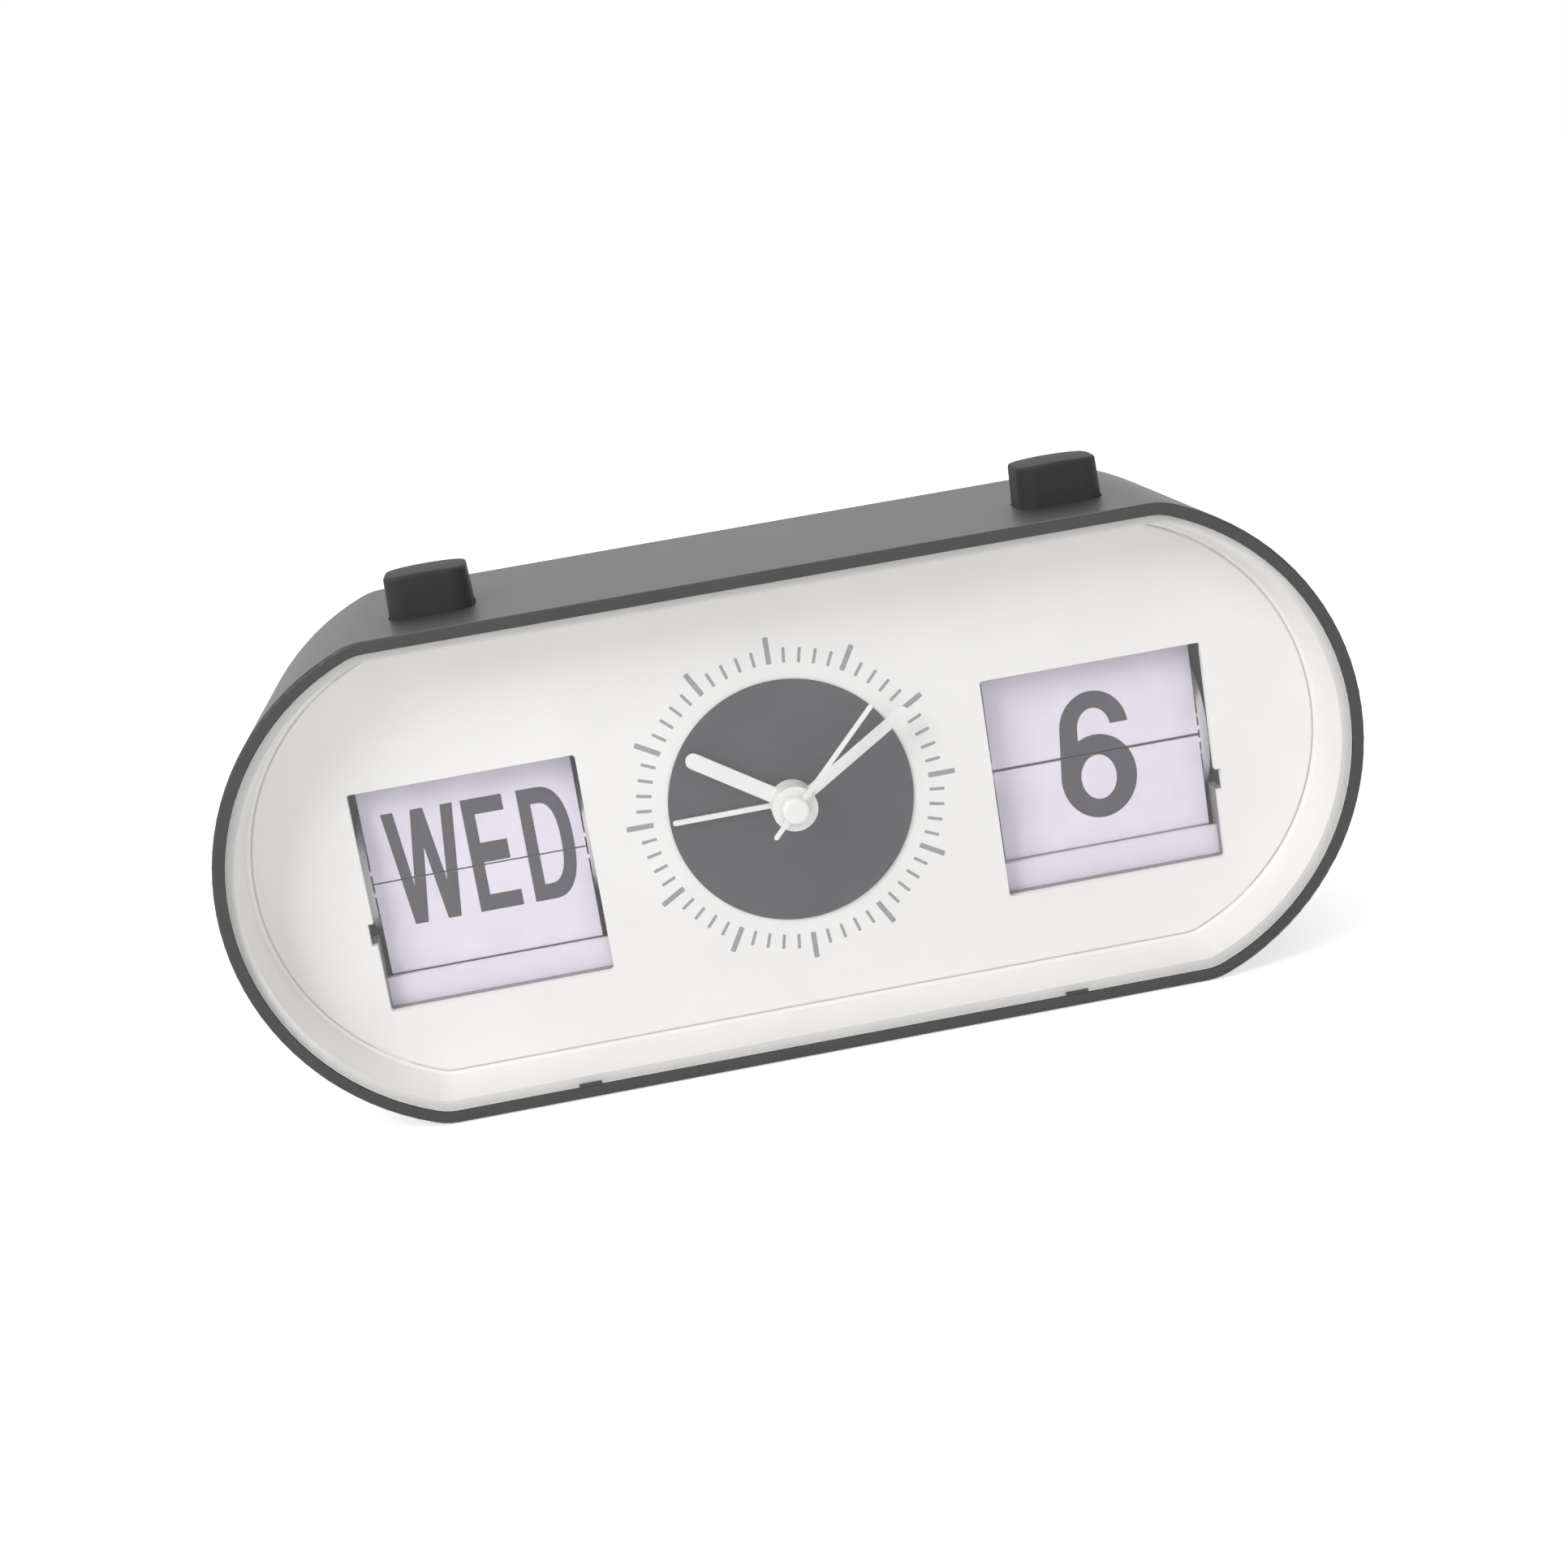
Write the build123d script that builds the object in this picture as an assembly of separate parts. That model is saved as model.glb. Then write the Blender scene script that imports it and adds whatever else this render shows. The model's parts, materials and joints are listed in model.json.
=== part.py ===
from build123d import *
import os
from math import acos, asin, cos, degrees, pi, radians, sin, sqrt, tan

# Desk alarm clock: analogue dial in the middle, flip weekday on the left, flip date on the right.
# Millimetres. X to the right, front towards -Y, Z up. Origin at the middle of the flat base.

# Case
CASE_LENGTH = 200.0
CASE_HEIGHT = 86.0
CASE_DEPTH = 60.0
END_BULGE = 2.3  # end arcs are this much larger than half the height
SHOULDER_BLEND = 11.0  # radius where the flat top meets the end arcs
CASE_WALL = 2.1
CASE_EDGE = 0.5
COVER_THICKNESS = 2.1
LEDGE_WIDTH = 1.6
LEDGE_DEPTH = 2.0
SLIDE_GAP = 0.1  # between pieces that drop into each other
TAB_INSIDE_END = 11.2  # nearer the middle than the end arc's centre
TAB_SIZE = (4.0, 0.3, 0.7)
POST_BEYOND_END = 7.3
POST_RADIUS = 3.0
POST_LENGTH = 14.0
POST_INSET = 6.2

# Lens, face tray and dial disc
LENS_SET_BACK = 0.4
LENS_THICKNESS = 1.5
RECESS_SHARE = 0.225  # of the case depth
FACE_THICKNESS = 1.6
TRAY_WALL = 1.5
FLOOR_INSET = 4.4
FLOOR_FILLET = 0.6
FLOOR_GROOVE = (0.35, 0.3)  # width and depth, round the edge of the floor
DISC_RADIUS = 21.8
DISC_THICKNESS = 0.4
WINDOW_SIDE_GAP = 1.0  # beside the leaves
WINDOW_HEIGHT = 40.0
WINDOW_DROP = 5.0  # window centre below the dial centre
WINDOW_CORNER = 0.6
NOTCH_SIZE = (1.0, 4.0)
NOTCH_DROP = 10.5
REVEAL_WALL = 1.2  # sill and cheeks behind the lower part of a window
REVEAL_DEPTH = 5.0
LIP_PLANE = 3.3  # behind the front of the face, in front of the hanging leaves
LIP_HEIGHT = 5.2
BOSS_RADIUS = 2.4
BOSS_HEIGHT = 5.0

# Screws
SCREW_RADIUS = 0.9
SCREW_LENGTH = 4.5
SCREW_HEAD_RADIUS = 1.9
SCREW_HEAD = 1.1
COVER_SCREW_RADIUS = 1.3
COVER_SCREW_LENGTH = 9.0
COVER_HEAD_RADIUS = 2.6
COVER_HEAD = 1.2
SCREW_GAP = 0.05

# Flip units
SPLIT_DROP = 2.8  # split line below the dial centre
LEAF_PLANE = 5.2  # behind the front of the face
FLIP_TO_MOVEMENT = 3.8
FLIP_BEYOND_END = 25.7
LEAF_REACH = 16.8
SPLIT_GAP = 0.25
DAY_LEAVES = 14
DAY_PIN_SHARE = 0.15  # of the case depth
DAY_LEAF_THICKNESS = 0.4
DATE_LEAVES = 31
DATE_PIN_SHARE = 0.19
DATE_LEAF_THICKNESS = 0.25
LEAF_PIN_RADIUS = 0.45
LEAF_PIN_GAP = 0.1
LEAF_SIDE_GAP = 0.3
SPOOL_DISC = 1.2
SPOOL_RIM = 1.3
SPOOL_TUBE_RADIUS = 2.2
SPOOL_HUB_RADIUS = 1.8
AXLE_RADIUS = 1.2
AXLE_END = 0.5
RUN_GAP = 0.05  # radial clearance of a running fit
SNUG_GAP = 0.02  # radial clearance of a pressed or glued fit
RATCHET_THICKNESS = 1.5
RATCHET_GAP = 0.3
TOOTH_HEIGHT = 0.8
FRAME_PLATE = 1.5
FRAME_GAP = 0.5
STACK_CLEARANCE = 0.8  # under the longest hanging leaf
FRAME_BELOW_TOP = 10.5
FRAME_BEHIND_AXLE = 6.0
BRIDGE_LIP = 8.0
EAR_BELOW_TOP = 21.5
EAR_INSET = 7.8
FOOT_DROP = 2.9
FOOT_X = 10.0
CLICK_THICKNESS = 0.3
CLICK_GAP = 0.15
CLICK_FOOT = 3.0
CLICK_ABOVE_AXLE = 2.0

# Keys
KEY_OFFSET = 0.2  # nearer the middle than the window
KEY_SIZE = (14.8, 13.0)
KEY_HEIGHT = 7.7
KEY_CORNER = 3.4
KEY_DRAFT = 2.0
KEY_EDGE = 0.6
KEY_CROWN = 70.0
KEY_FRONT = 16.5  # behind the front edge of the case
KEY_GAP = 0.2
KEY_TRAVEL = 1.7
KEY_NECK_WIDTH = 10.0
KEY_NECK_DEPTH = 5.2
PUSHER_PLATE = 1.4
PUSHER_STOP_GAP = 0.3
PUSHER_WIDER = 3.2
STEM_RADIUS = 1.5
STEM_BEHIND_FACE = 4.4
BAR_BEHIND_FACE = 2.9
STEM_GAP = 0.15
ARM_BELOW_TOP = 16.5
ARM_HEIGHT = 3.0
ARM_DEPTH = 3.0
PAWL_THICKNESS = 0.7
PAWL_REACH = 0.45
PAWL_GAP = 0.25
SPRING_RADIUS = 2.2
SPRING_WIRE = 0.25
SPRING_TURNS = 4

# Movement
MOVEMENT_SIZE = 56.0
MOVEMENT_WALL = 1.2
LAYER = 1.7
WHEEL_THICKNESS = 1.2
FIRST_GAP = 0.3
REAR_ROOM = 2.1
TRAIN_MODULE = 0.3
MOTION_MODULE = 0.4
ROTOR_TEETH = 8
INTERMEDIATE_TEETH = 40
PINION_TEETH = 10
SECOND_TEETH = 60
THIRD_TEETH = 80
MINUTE_TEETH = 75
CANNON_TEETH = 12
MOTION_TEETH = 36
HOUR_TEETH = 40
ALARM_TEETH = 40
ALARM_SET_TEETH = 28
TIME_SET_TEETH = 15
THIRD_ANGLE = 0.0
INTERMEDIATE_ANGLE = 90.0
ROTOR_ANGLE = 40.0
MOTION_ANGLE = 270.0
ALARM_SET_ANGLE = 145.0
TIME_SET_ANGLE = 215.0
PRESSURE_ANGLE = 20.0
WHEEL_ADDENDUM = 0.5  # in modules
PINION_ADDENDUM = 0.9
ROOT_CLEARANCE = 0.25
BACKLASH = 0.1
ARBOR_RADIUS = 0.5
PIVOT_DEPTH = 1.0
TUBE_WALL = 0.75
POST_PIN_RADIUS = 0.8
MAGNET_RADIUS = 3.0
STATOR_GAP = 0.4
STATOR_WIDTH = 24.4
STATOR_BRIDGE = 0.5
STATOR_LEG = 2.5
STATOR_THICKNESS = 1.2
CORE_HEIGHT = 2.4
COIL_RADIUS = 2.6
COIL_WALL = 0.5
COIL_FLANGE = 0.8
BOARD_SIZE = (24.0, 12.0)
BOARD_THICKNESS = 1.0
CRYSTAL_RADIUS = 1.0
CRYSTAL_LENGTH = 6.0
MOVEMENT_EAR_X = 18.0
MOVEMENT_EAR_RADIUS = 3.2

# Hands, angles clockwise from twelve
HUB_RADIUS = 4.0
ALARM_HAND = (21.3, 0.9, 269.7)
HOUR_HAND = (20.5, 2.8, 303.5)
MINUTE_HAND = (26.0, 2.0, 58.5)
SECOND_HAND = (22.6, 0.8, 44.5)
SECOND_TAIL = 6.3
SECOND_CAP_RADIUS = 2.4
HAND_THICKNESS = 0.5
HAND_GAP = 0.25
ALARM_HAND_LIFT = 0.5  # off the dial disc
HOUR_HUB = 1.8
ALARM_HUB = 0.8
SECOND_CAP = 2.0
LENS_CLEARANCE = 2.55  # in front of the second hand's cap

# Back: knobs, switch, battery, buzzer
WELL_LEFT = -23.0
WELL_RIGHT = 15.0
WELL_BELOW = 15.4  # below the dial centre
WELL_ABOVE = 17.0
WELL_DEPTH = 5.2
WELL_WALL = 1.6
WELL_CORNER = 4.0
STEM_HOLE_GAP = 0.4
SETTING_STEM_RADIUS = 0.8
TIME_KNOB_RADIUS = 6.3
ALARM_KNOB_RADIUS = 5.6
KNOB_THICKNESS = 4.2
KNOB_GAP = 0.3
KNOB_FLUTES = 18
FLUTE_RADIUS = 0.6
SWITCH_X = 7.0
SWITCH_TRAVEL = 3.0
SWITCH_NECK = (2.0, 4.0)
SWITCH_CAP = (5.0, 7.0, 2.2)
SWITCH_CORNER = 0.8
SWITCH_KEEPER = 1.0
SWITCH_GAP = 0.2
CELL_RADIUS = 7.25
CELL_LENGTH = 49.2
CELL_NUB = (2.7, 1.3)
CELL_GAP = 0.35
CELL_BELOW = 25.9
SPRING_ROOM = 7.6
BAY_WALL = 1.2
DOOR_LAP = 0.4
DOOR_GAP = 0.2
CONTACT_THICKNESS = 0.5
CONTACT_WIDTH = 9.0
BATTERY_COIL_RADIUS = 4.0
BATTERY_WIRE = 0.4
BATTERY_TURNS = 4
BUZZER_X = 26.0
BUZZER_ABOVE = 20.0
BUZZER_RADIUS = 8.6
BUZZER_HEIGHT = 6.0
BUZZER_RING = 1.2
BUZZER_RING_HEIGHT = 4.0
SOUND_HOLE_RADIUS = 0.9
SOUND_HOLE_CIRCLE = 4.2

# Worked out from the sizes above
FRONT = -CASE_DEPTH / 2
REAR = CASE_DEPTH / 2
MID_Z = CASE_HEIGHT / 2
END_RADIUS = MID_Z + END_BULGE
END_X = CASE_LENGTH / 2 - END_RADIUS
COVER_FRONT = REAR - COVER_THICKNESS
TAB_X = END_X - TAB_INSIDE_END
POST_X = END_X + POST_BEYOND_END
RECESS = CASE_DEPTH * RECESS_SHARE
DAY_PIN_CIRCLE = CASE_DEPTH * DAY_PIN_SHARE
DATE_PIN_CIRCLE = CASE_DEPTH * DATE_PIN_SHARE
FLIP_INNER = MOVEMENT_SIZE / 2 + FLIP_TO_MOVEMENT
FLIP_OUTER = END_X + FLIP_BEYOND_END
FLIP_SIDE = LEAF_SIDE_GAP + SPOOL_DISC + RATCHET_GAP + RATCHET_THICKNESS + FRAME_GAP + FRAME_PLATE
WINDOW_X = (FLIP_INNER + FLIP_OUTER) / 2
LEAF_WIDTH = FLIP_OUTER - FLIP_INNER - 2 * FLIP_SIDE
WINDOW_WIDTH = LEAF_WIDTH + 2 * WINDOW_SIDE_GAP
KEY_X = WINDOW_X - KEY_OFFSET
EAR_X = (FLIP_OUTER - FLIP_INNER) / 2 - EAR_INSET
LENS_FRONT = FRONT + LENS_SET_BACK
LENS_BACK = LENS_FRONT + LENS_THICKNESS
FACE_FRONT = FRONT + RECESS
FACE_BACK = FACE_FRONT + FACE_THICKNESS
BOSS_TOP = FACE_BACK + BOSS_HEIGHT
SPLIT_Z = MID_Z - SPLIT_DROP
LEAF_Y = FACE_FRONT + LEAF_PLANE
STEM_Y = FACE_BACK + STEM_BEHIND_FACE
BAR_Y = FACE_BACK + BAR_BEHIND_FACE
FRAME_TOP = CASE_HEIGHT - FRAME_BELOW_TOP
FRAME_BOTTOM = SPLIT_Z - DATE_PIN_CIRCLE - LEAF_REACH - STACK_CLEARANCE - FRAME_PLATE
FOOT_Z = FRAME_BOTTOM - FOOT_DROP
EAR_Z = CASE_HEIGHT - EAR_BELOW_TOP
ARM_BOTTOM = CASE_HEIGHT - ARM_BELOW_TOP
WELL_BOTTOM = MID_Z - WELL_BELOW
WELL_TOP = MID_Z + WELL_ABOVE
CELL_Z = MID_Z - CELL_BELOW
BAY_LENGTH = CELL_LENGTH + CELL_NUB[1] + CONTACT_THICKNESS + 2 * SLIDE_GAP + SPRING_ROOM
BUZZER_Z = MID_Z + BUZZER_ABOVE
MOVEMENT_FRONT = FACE_BACK
MOVEMENT_INNER = MOVEMENT_FRONT + MOVEMENT_WALL


def layer(number):
    """Front of a layer of the gear train."""
    return MOVEMENT_INNER + FIRST_GAP + number * LAYER


MOVEMENT_SPLIT = layer(5)
MOVEMENT_REAR_INNER = layer(8) + REAR_ROOM
MOVEMENT_REAR = MOVEMENT_REAR_INNER + MOVEMENT_WALL
WELL_FLOOR = REAR - WELL_DEPTH
WELL_FLOOR_FRONT = WELL_FLOOR - COVER_THICKNESS


# Small shapes

def slab(sketch, front, back):
    """A front view drawn at (x, z), made solid between two depths."""
    return extrude(Pos(0, front, 0) * (Plane.XZ * sketch), back - front, dir=(0, 1, 0))


def disc(x, z, radius):
    return Pos(x, z) * Circle(radius)


def rod(x, z, radius, front, back):
    return slab(disc(x, z, radius), front, back)


def block(x, y, z):
    """A box from three (low, high) pairs."""
    size = [high - low for low, high in (x, y, z)]
    centre = [(high + low) / 2 for low, high in (x, y, z)]
    return Pos(*centre) * Box(*size)


def across(y, z, radius, left, right):
    """A cylinder along X."""
    return Pos((left + right) / 2, y, z) * Rot(0, 90, 0) * Cylinder(radius, right - left)


def outline(inset):
    """Front view of the case, drawn inwards by an inset."""
    half = MID_Z - inset
    radius = END_RADIUS - inset
    blend = SHOULDER_BLEND - inset
    turn = asin((MID_Z - SHOULDER_BLEND) / (END_RADIUS - SHOULDER_BLEND))
    shoulder = END_X + (END_RADIUS - SHOULDER_BLEND) * cos(turn)
    middle = (turn + pi / 2) / 2
    bend = (shoulder + blend * cos(middle), MID_Z - SHOULDER_BLEND + blend * sin(middle))
    meet = (END_X + radius * cos(turn), radius * sin(turn))

    def at(point, side, up):
        return (side * point[0], up * point[1])

    flat = (shoulder, half)
    tip = (END_X + radius, 0)
    edges = [
        Line(at(flat, -1, 1), at(flat, 1, 1)),
        ThreePointArc(at(flat, 1, 1), at(bend, 1, 1), at(meet, 1, 1)),
        ThreePointArc(at(meet, 1, 1), tip, at(meet, 1, -1)),
        ThreePointArc(at(meet, 1, -1), at(bend, 1, -1), at(flat, 1, -1)),
        Line(at(flat, 1, -1), at(flat, -1, -1)),
        ThreePointArc(at(flat, -1, -1), at(bend, -1, -1), at(meet, -1, -1)),
        ThreePointArc(at(meet, -1, -1), at(tip, -1, 1), at(meet, -1, 1)),
        ThreePointArc(at(meet, -1, 1), at(bend, -1, 1), at(flat, -1, 1)),
    ]
    return Pos(0, MID_Z) * make_face(edges)


def section_at(inset, y):
    return Pos(0, y, 0) * (Plane.XZ * outline(inset))


def edges_at_depth(solid, y):
    return solid.edges().filter_by_position(Axis.Y, y - 0.01, y + 0.01)


def coil(radius, wire, length, turns):
    """A wire spring along +Z from the origin, each quarter turn two tangent arcs."""
    rise = length / (2 * pi * turns)

    def place(angle):
        return Vector(radius * cos(angle), radius * sin(angle), rise * angle)

    def heading(angle):
        return Vector(-radius * sin(angle), radius * cos(angle), rise).normalized()

    arcs = []
    for quarter in range(4 * turns):
        start, end = quarter * pi / 2, (quarter + 1) * pi / 2
        first, last = place(start), place(end)
        out, into = heading(start), heading(end)
        chord = last - first
        along = chord.dot(out + into)
        spread = 2 * (1 - out.dot(into))
        reach = (sqrt(along**2 + spread * chord.dot(chord)) - along) / spread
        joint = (first + out * reach + last - into * reach) * 0.5
        arcs.append(TangentArc(first, joint, tangent=out))
        arcs.append(TangentArc(joint, last, tangent=last - into * reach - joint))
    path = Wire(arcs)
    return sweep(Plane(origin=place(0), z_dir=heading(0)) * Circle(wire), path=path)


# Gears

def polar(angle, distance, start=(0, MID_Z)):
    """A point at an angle from +X, in the front view."""
    return (start[0] + distance * cos(radians(angle)), start[1] + distance * sin(radians(angle)))


def pitch_radius(teeth, module):
    return teeth * module / 2


def toothed(centre, teeth, module, phase, addendum, mate_addendum):
    """Involute gear outline with one tooth centred at the phase angle."""
    pitch = pitch_radius(teeth, module)
    base = pitch * cos(radians(PRESSURE_ANGLE))
    tip = pitch + addendum * module
    root = pitch - (mate_addendum + ROOT_CLEARANCE) * module

    def involute(angle):
        return tan(angle) - angle

    def half_angle(radius):
        lean = acos(min(1, base / radius))
        width = (pi / 2 - BACKLASH) * module
        return width / (2 * pitch) + involute(radians(PRESSURE_ANGLE)) - involute(lean)

    flank = [root] if root < base else []
    low = max(root, base)
    flank += [low + (tip - low) * step / 3 for step in range(4)]
    points = []
    for tooth in range(teeth):
        middle = phase + 360 * tooth / teeth
        for radius in flank:
            points.append(polar(middle - degrees(half_angle(max(radius, base))), radius, centre))
        for radius in reversed(flank):
            points.append(polar(middle + degrees(half_angle(max(radius, base))), radius, centre))
    return make_face(Polyline(points, close=True))


def wheel(centre, teeth, module, phase):
    return toothed(centre, teeth, module, phase, WHEEL_ADDENDUM, PINION_ADDENDUM)


def pinion(centre, teeth, module, phase):
    return toothed(centre, teeth, module, phase, PINION_ADDENDUM, WHEEL_ADDENDUM)


def meshed(phase, teeth, mate_teeth, angle):
    """Phase of a gear that meshes with another, which lies at an angle from it."""
    share = (phase - angle) * teeth / 360
    return angle + 180 + (0.5 - share) * 360 / mate_teeth


def gear(sketch, number):
    return slab(sketch, layer(number), layer(number) + WHEEL_THICKNESS)


# Centres and phases of the train
CENTRE = (0, MID_Z)
HOUR_MODULE = MOTION_MODULE * (CANNON_TEETH + MOTION_TEETH) / (PINION_TEETH + HOUR_TEETH)
MINUTE_MODULE = TRAIN_MODULE * (PINION_TEETH + THIRD_TEETH) / (PINION_TEETH + MINUTE_TEETH)


def spacing(teeth, mate_teeth, module):
    return pitch_radius(teeth + mate_teeth, module)


THIRD = polar(THIRD_ANGLE, spacing(PINION_TEETH, THIRD_TEETH, TRAIN_MODULE))
INTERMEDIATE = polar(INTERMEDIATE_ANGLE, spacing(SECOND_TEETH, PINION_TEETH, TRAIN_MODULE))
ROTOR = polar(ROTOR_ANGLE, spacing(INTERMEDIATE_TEETH, ROTOR_TEETH, TRAIN_MODULE), INTERMEDIATE)
MOTION = polar(MOTION_ANGLE, spacing(CANNON_TEETH, MOTION_TEETH, MOTION_MODULE))
ALARM_SET = polar(ALARM_SET_ANGLE, spacing(ALARM_TEETH, ALARM_SET_TEETH, MOTION_MODULE))
TIME_SET = polar(TIME_SET_ANGLE, spacing(MINUTE_TEETH, TIME_SET_TEETH, MINUTE_MODULE))

MINUTE_TUBE = ARBOR_RADIUS + RUN_GAP + TUBE_WALL
HOUR_TUBE = MINUTE_TUBE + RUN_GAP + TUBE_WALL
ALARM_TUBE = HOUR_TUBE + RUN_GAP + TUBE_WALL

# Depths of the hands, from the dial disc forwards
DISC_FRONT = FACE_FRONT - DISC_THICKNESS
ALARM_HAND_BACK = DISC_FRONT - ALARM_HAND_LIFT
ALARM_HUB_FRONT = ALARM_HAND_BACK - ALARM_HUB
HOUR_HAND_BACK = ALARM_HUB_FRONT - HAND_GAP
HOUR_HUB_FRONT = HOUR_HAND_BACK - HOUR_HUB
MINUTE_HAND_BACK = HOUR_HUB_FRONT - HAND_GAP
SECOND_CAP_FRONT = LENS_BACK + LENS_CLEARANCE
SECOND_CAP_BACK = SECOND_CAP_FRONT + SECOND_CAP
MINUTE_HUB_FRONT = SECOND_CAP_BACK + HAND_GAP

# Screw places on the back of the face
MOVEMENT_EAR_Z = MOVEMENT_SIZE / 2 + MOVEMENT_EAR_RADIUS
MOVEMENT_SCREWS = [
    (side * MOVEMENT_EAR_X, MID_Z + up * MOVEMENT_EAR_Z) for side in (-1, 1) for up in (-1, 1)
]
FRAME_SCREWS = [
    (unit * WINDOW_X + side * x, z)
    for unit in (-1, 1)
    for side in (-1, 1)
    for x, z in ((EAR_X, EAR_Z), (FOOT_X, FOOT_Z))
]
COVER_SCREWS = [
    (side * POST_X, z) for side in (-1, 1) for z in (POST_INSET, CASE_HEIGHT - POST_INSET)
]

nodes = {}


# Case band

def key_plan(side, gap):
    width, depth = KEY_SIZE
    plan = RectangleRounded(width + 2 * gap, depth + 2 * gap, KEY_CORNER + gap)
    return Pos(side * KEY_X, FRONT + KEY_FRONT + depth / 2) * plan


def neck_plan(side, gap):
    return Pos(side * KEY_X, STEM_Y) * Rectangle(KEY_NECK_WIDTH + 2 * gap, KEY_NECK_DEPTH + 2 * gap)


def make_case_band():
    band = slab(outline(0), FRONT, REAR)
    band = fillet(edges_at_depth(band, FRONT) + edges_at_depth(band, REAR), CASE_EDGE)
    band -= slab(outline(CASE_WALL), FRONT, REAR)
    ledge = outline(CASE_WALL) - outline(CASE_WALL + LEDGE_WIDTH)
    band += slab(ledge, COVER_FRONT - LEDGE_DEPTH, COVER_FRONT)
    for x, z in COVER_SCREWS:
        wall = 0 if z < MID_Z else CASE_HEIGHT
        low, high = sorted((z, wall + (CASE_WALL / 2 if z < MID_Z else -CASE_WALL / 2)))
        post = rod(x, z, POST_RADIUS, COVER_FRONT - POST_LENGTH, COVER_FRONT)
        web_x = (x - POST_RADIUS / 2, x + POST_RADIUS / 2)
        post += block(web_x, (COVER_FRONT - POST_LENGTH, COVER_FRONT), (low, high))
        hole_depth = COVER_SCREW_LENGTH + COVER_HEAD
        hole = rod(x, z, COVER_SCREW_RADIUS + SCREW_GAP, REAR - hole_depth - SCREW_GAP, REAR)
        band = band + post - hole
    for side in (-1, 1):
        tab_x = (side * TAB_X - TAB_SIZE[0] / 2, side * TAB_X + TAB_SIZE[0] / 2)
        tab_y = (LENS_FRONT - TAB_SIZE[1], LENS_FRONT)
        band += block(tab_x, tab_y, (CASE_WALL / 2, CASE_WALL + TAB_SIZE[2]))
        opening = key_plan(side, KEY_GAP) + neck_plan(side, KEY_GAP)
        band -= extrude(Pos(0, 0, MID_Z) * opening, CASE_HEIGHT)
    return band


nodes["case_band"] = make_case_band()
nodes["front_lens"] = slab(outline(CASE_WALL + SLIDE_GAP), LENS_FRONT, LENS_BACK)


# Face tray and dial disc

def reveal(side):
    """Sill with a lip and two cheeks behind a window, up to the notch in its edge."""
    sill = MID_Z - WINDOW_DROP - WINDOW_HEIGHT / 2
    top = MID_Z - NOTCH_DROP - NOTCH_SIZE[1] / 2
    middle = side * WINDOW_X
    near = WINDOW_WIDTH / 2
    far = near + REVEAL_WALL
    depth = (FACE_BACK, FACE_BACK + REVEAL_DEPTH)
    walls = block((middle - far, middle + far), depth, (sill - REVEAL_WALL, top))
    walls -= block((middle - near, middle + near), depth, (sill, top))
    lip = (FACE_FRONT + LIP_PLANE, FACE_FRONT + LIP_PLANE + REVEAL_WALL)
    return walls + block((middle - near, middle + near), lip, (sill, sill + LIP_HEIGHT))


def make_face_tray():
    rim = CASE_WALL + SLIDE_GAP
    outside = loft([section_at(rim, LENS_BACK), section_at(FLOOR_INSET - TRAY_WALL, FACE_BACK)], ruled=True)
    inside = loft([section_at(rim + TRAY_WALL, LENS_BACK), section_at(FLOOR_INSET, FACE_FRONT)], ruled=True)
    inside = fillet(edges_at_depth(inside, FACE_FRONT), FLOOR_FILLET)
    tray = outside - inside
    groove = FLOOR_INSET + FLOOR_FILLET
    ring = outline(groove) - outline(groove + FLOOR_GROOVE[0])
    tray -= slab(ring, FACE_FRONT, FACE_FRONT + FLOOR_GROOVE[1])
    for side in (-1, 1):
        window = RectangleRounded(WINDOW_WIDTH, WINDOW_HEIGHT, WINDOW_CORNER)
        window = Pos(side * WINDOW_X, MID_Z - WINDOW_DROP) * window
        notch_x = side * (WINDOW_X + WINDOW_WIDTH / 2)
        window += Pos(notch_x, MID_Z - NOTCH_DROP) * Rectangle(2 * NOTCH_SIZE[0], NOTCH_SIZE[1])
        tray -= slab(window, FACE_FRONT, FACE_BACK)
        tray += reveal(side)
    tray -= rod(*CENTRE, ALARM_TUBE + STEM_HOLE_GAP, FACE_FRONT, FACE_BACK)
    for x, z in MOVEMENT_SCREWS + FRAME_SCREWS:
        tray += rod(x, z, BOSS_RADIUS, FACE_BACK, BOSS_TOP)
        tray -= rod(x, z, SCREW_RADIUS + SCREW_GAP, BOSS_TOP - SCREW_LENGTH, BOSS_TOP)
    return tray


nodes["face_tray"] = make_face_tray()
nodes["dial_disc"] = slab(disc(*CENTRE, DISC_RADIUS) - disc(*CENTRE, ALARM_TUBE + STEM_HOLE_GAP),
                          DISC_FRONT, FACE_FRONT)


# Screws

def screw(x, z, radius, length, head_radius, head, seat):
    """A screw that points forwards, its head behind the seat."""
    return rod(x, z, radius, seat - length, seat) + rod(x, z, head_radius, seat, seat + head)


EAR_BACK = BOSS_TOP + FRAME_PLATE
nodes["face_screws"] = Compound([
    screw(x, z, SCREW_RADIUS, SCREW_LENGTH, SCREW_HEAD_RADIUS, SCREW_HEAD, EAR_BACK)
    for x, z in MOVEMENT_SCREWS + FRAME_SCREWS
])
nodes["rear_cover_screws"] = Compound([
    screw(x, z, COVER_SCREW_RADIUS, COVER_SCREW_LENGTH, COVER_HEAD_RADIUS, COVER_HEAD, REAR - COVER_HEAD)
    for x, z in COVER_SCREWS
])


# Flip units

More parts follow.
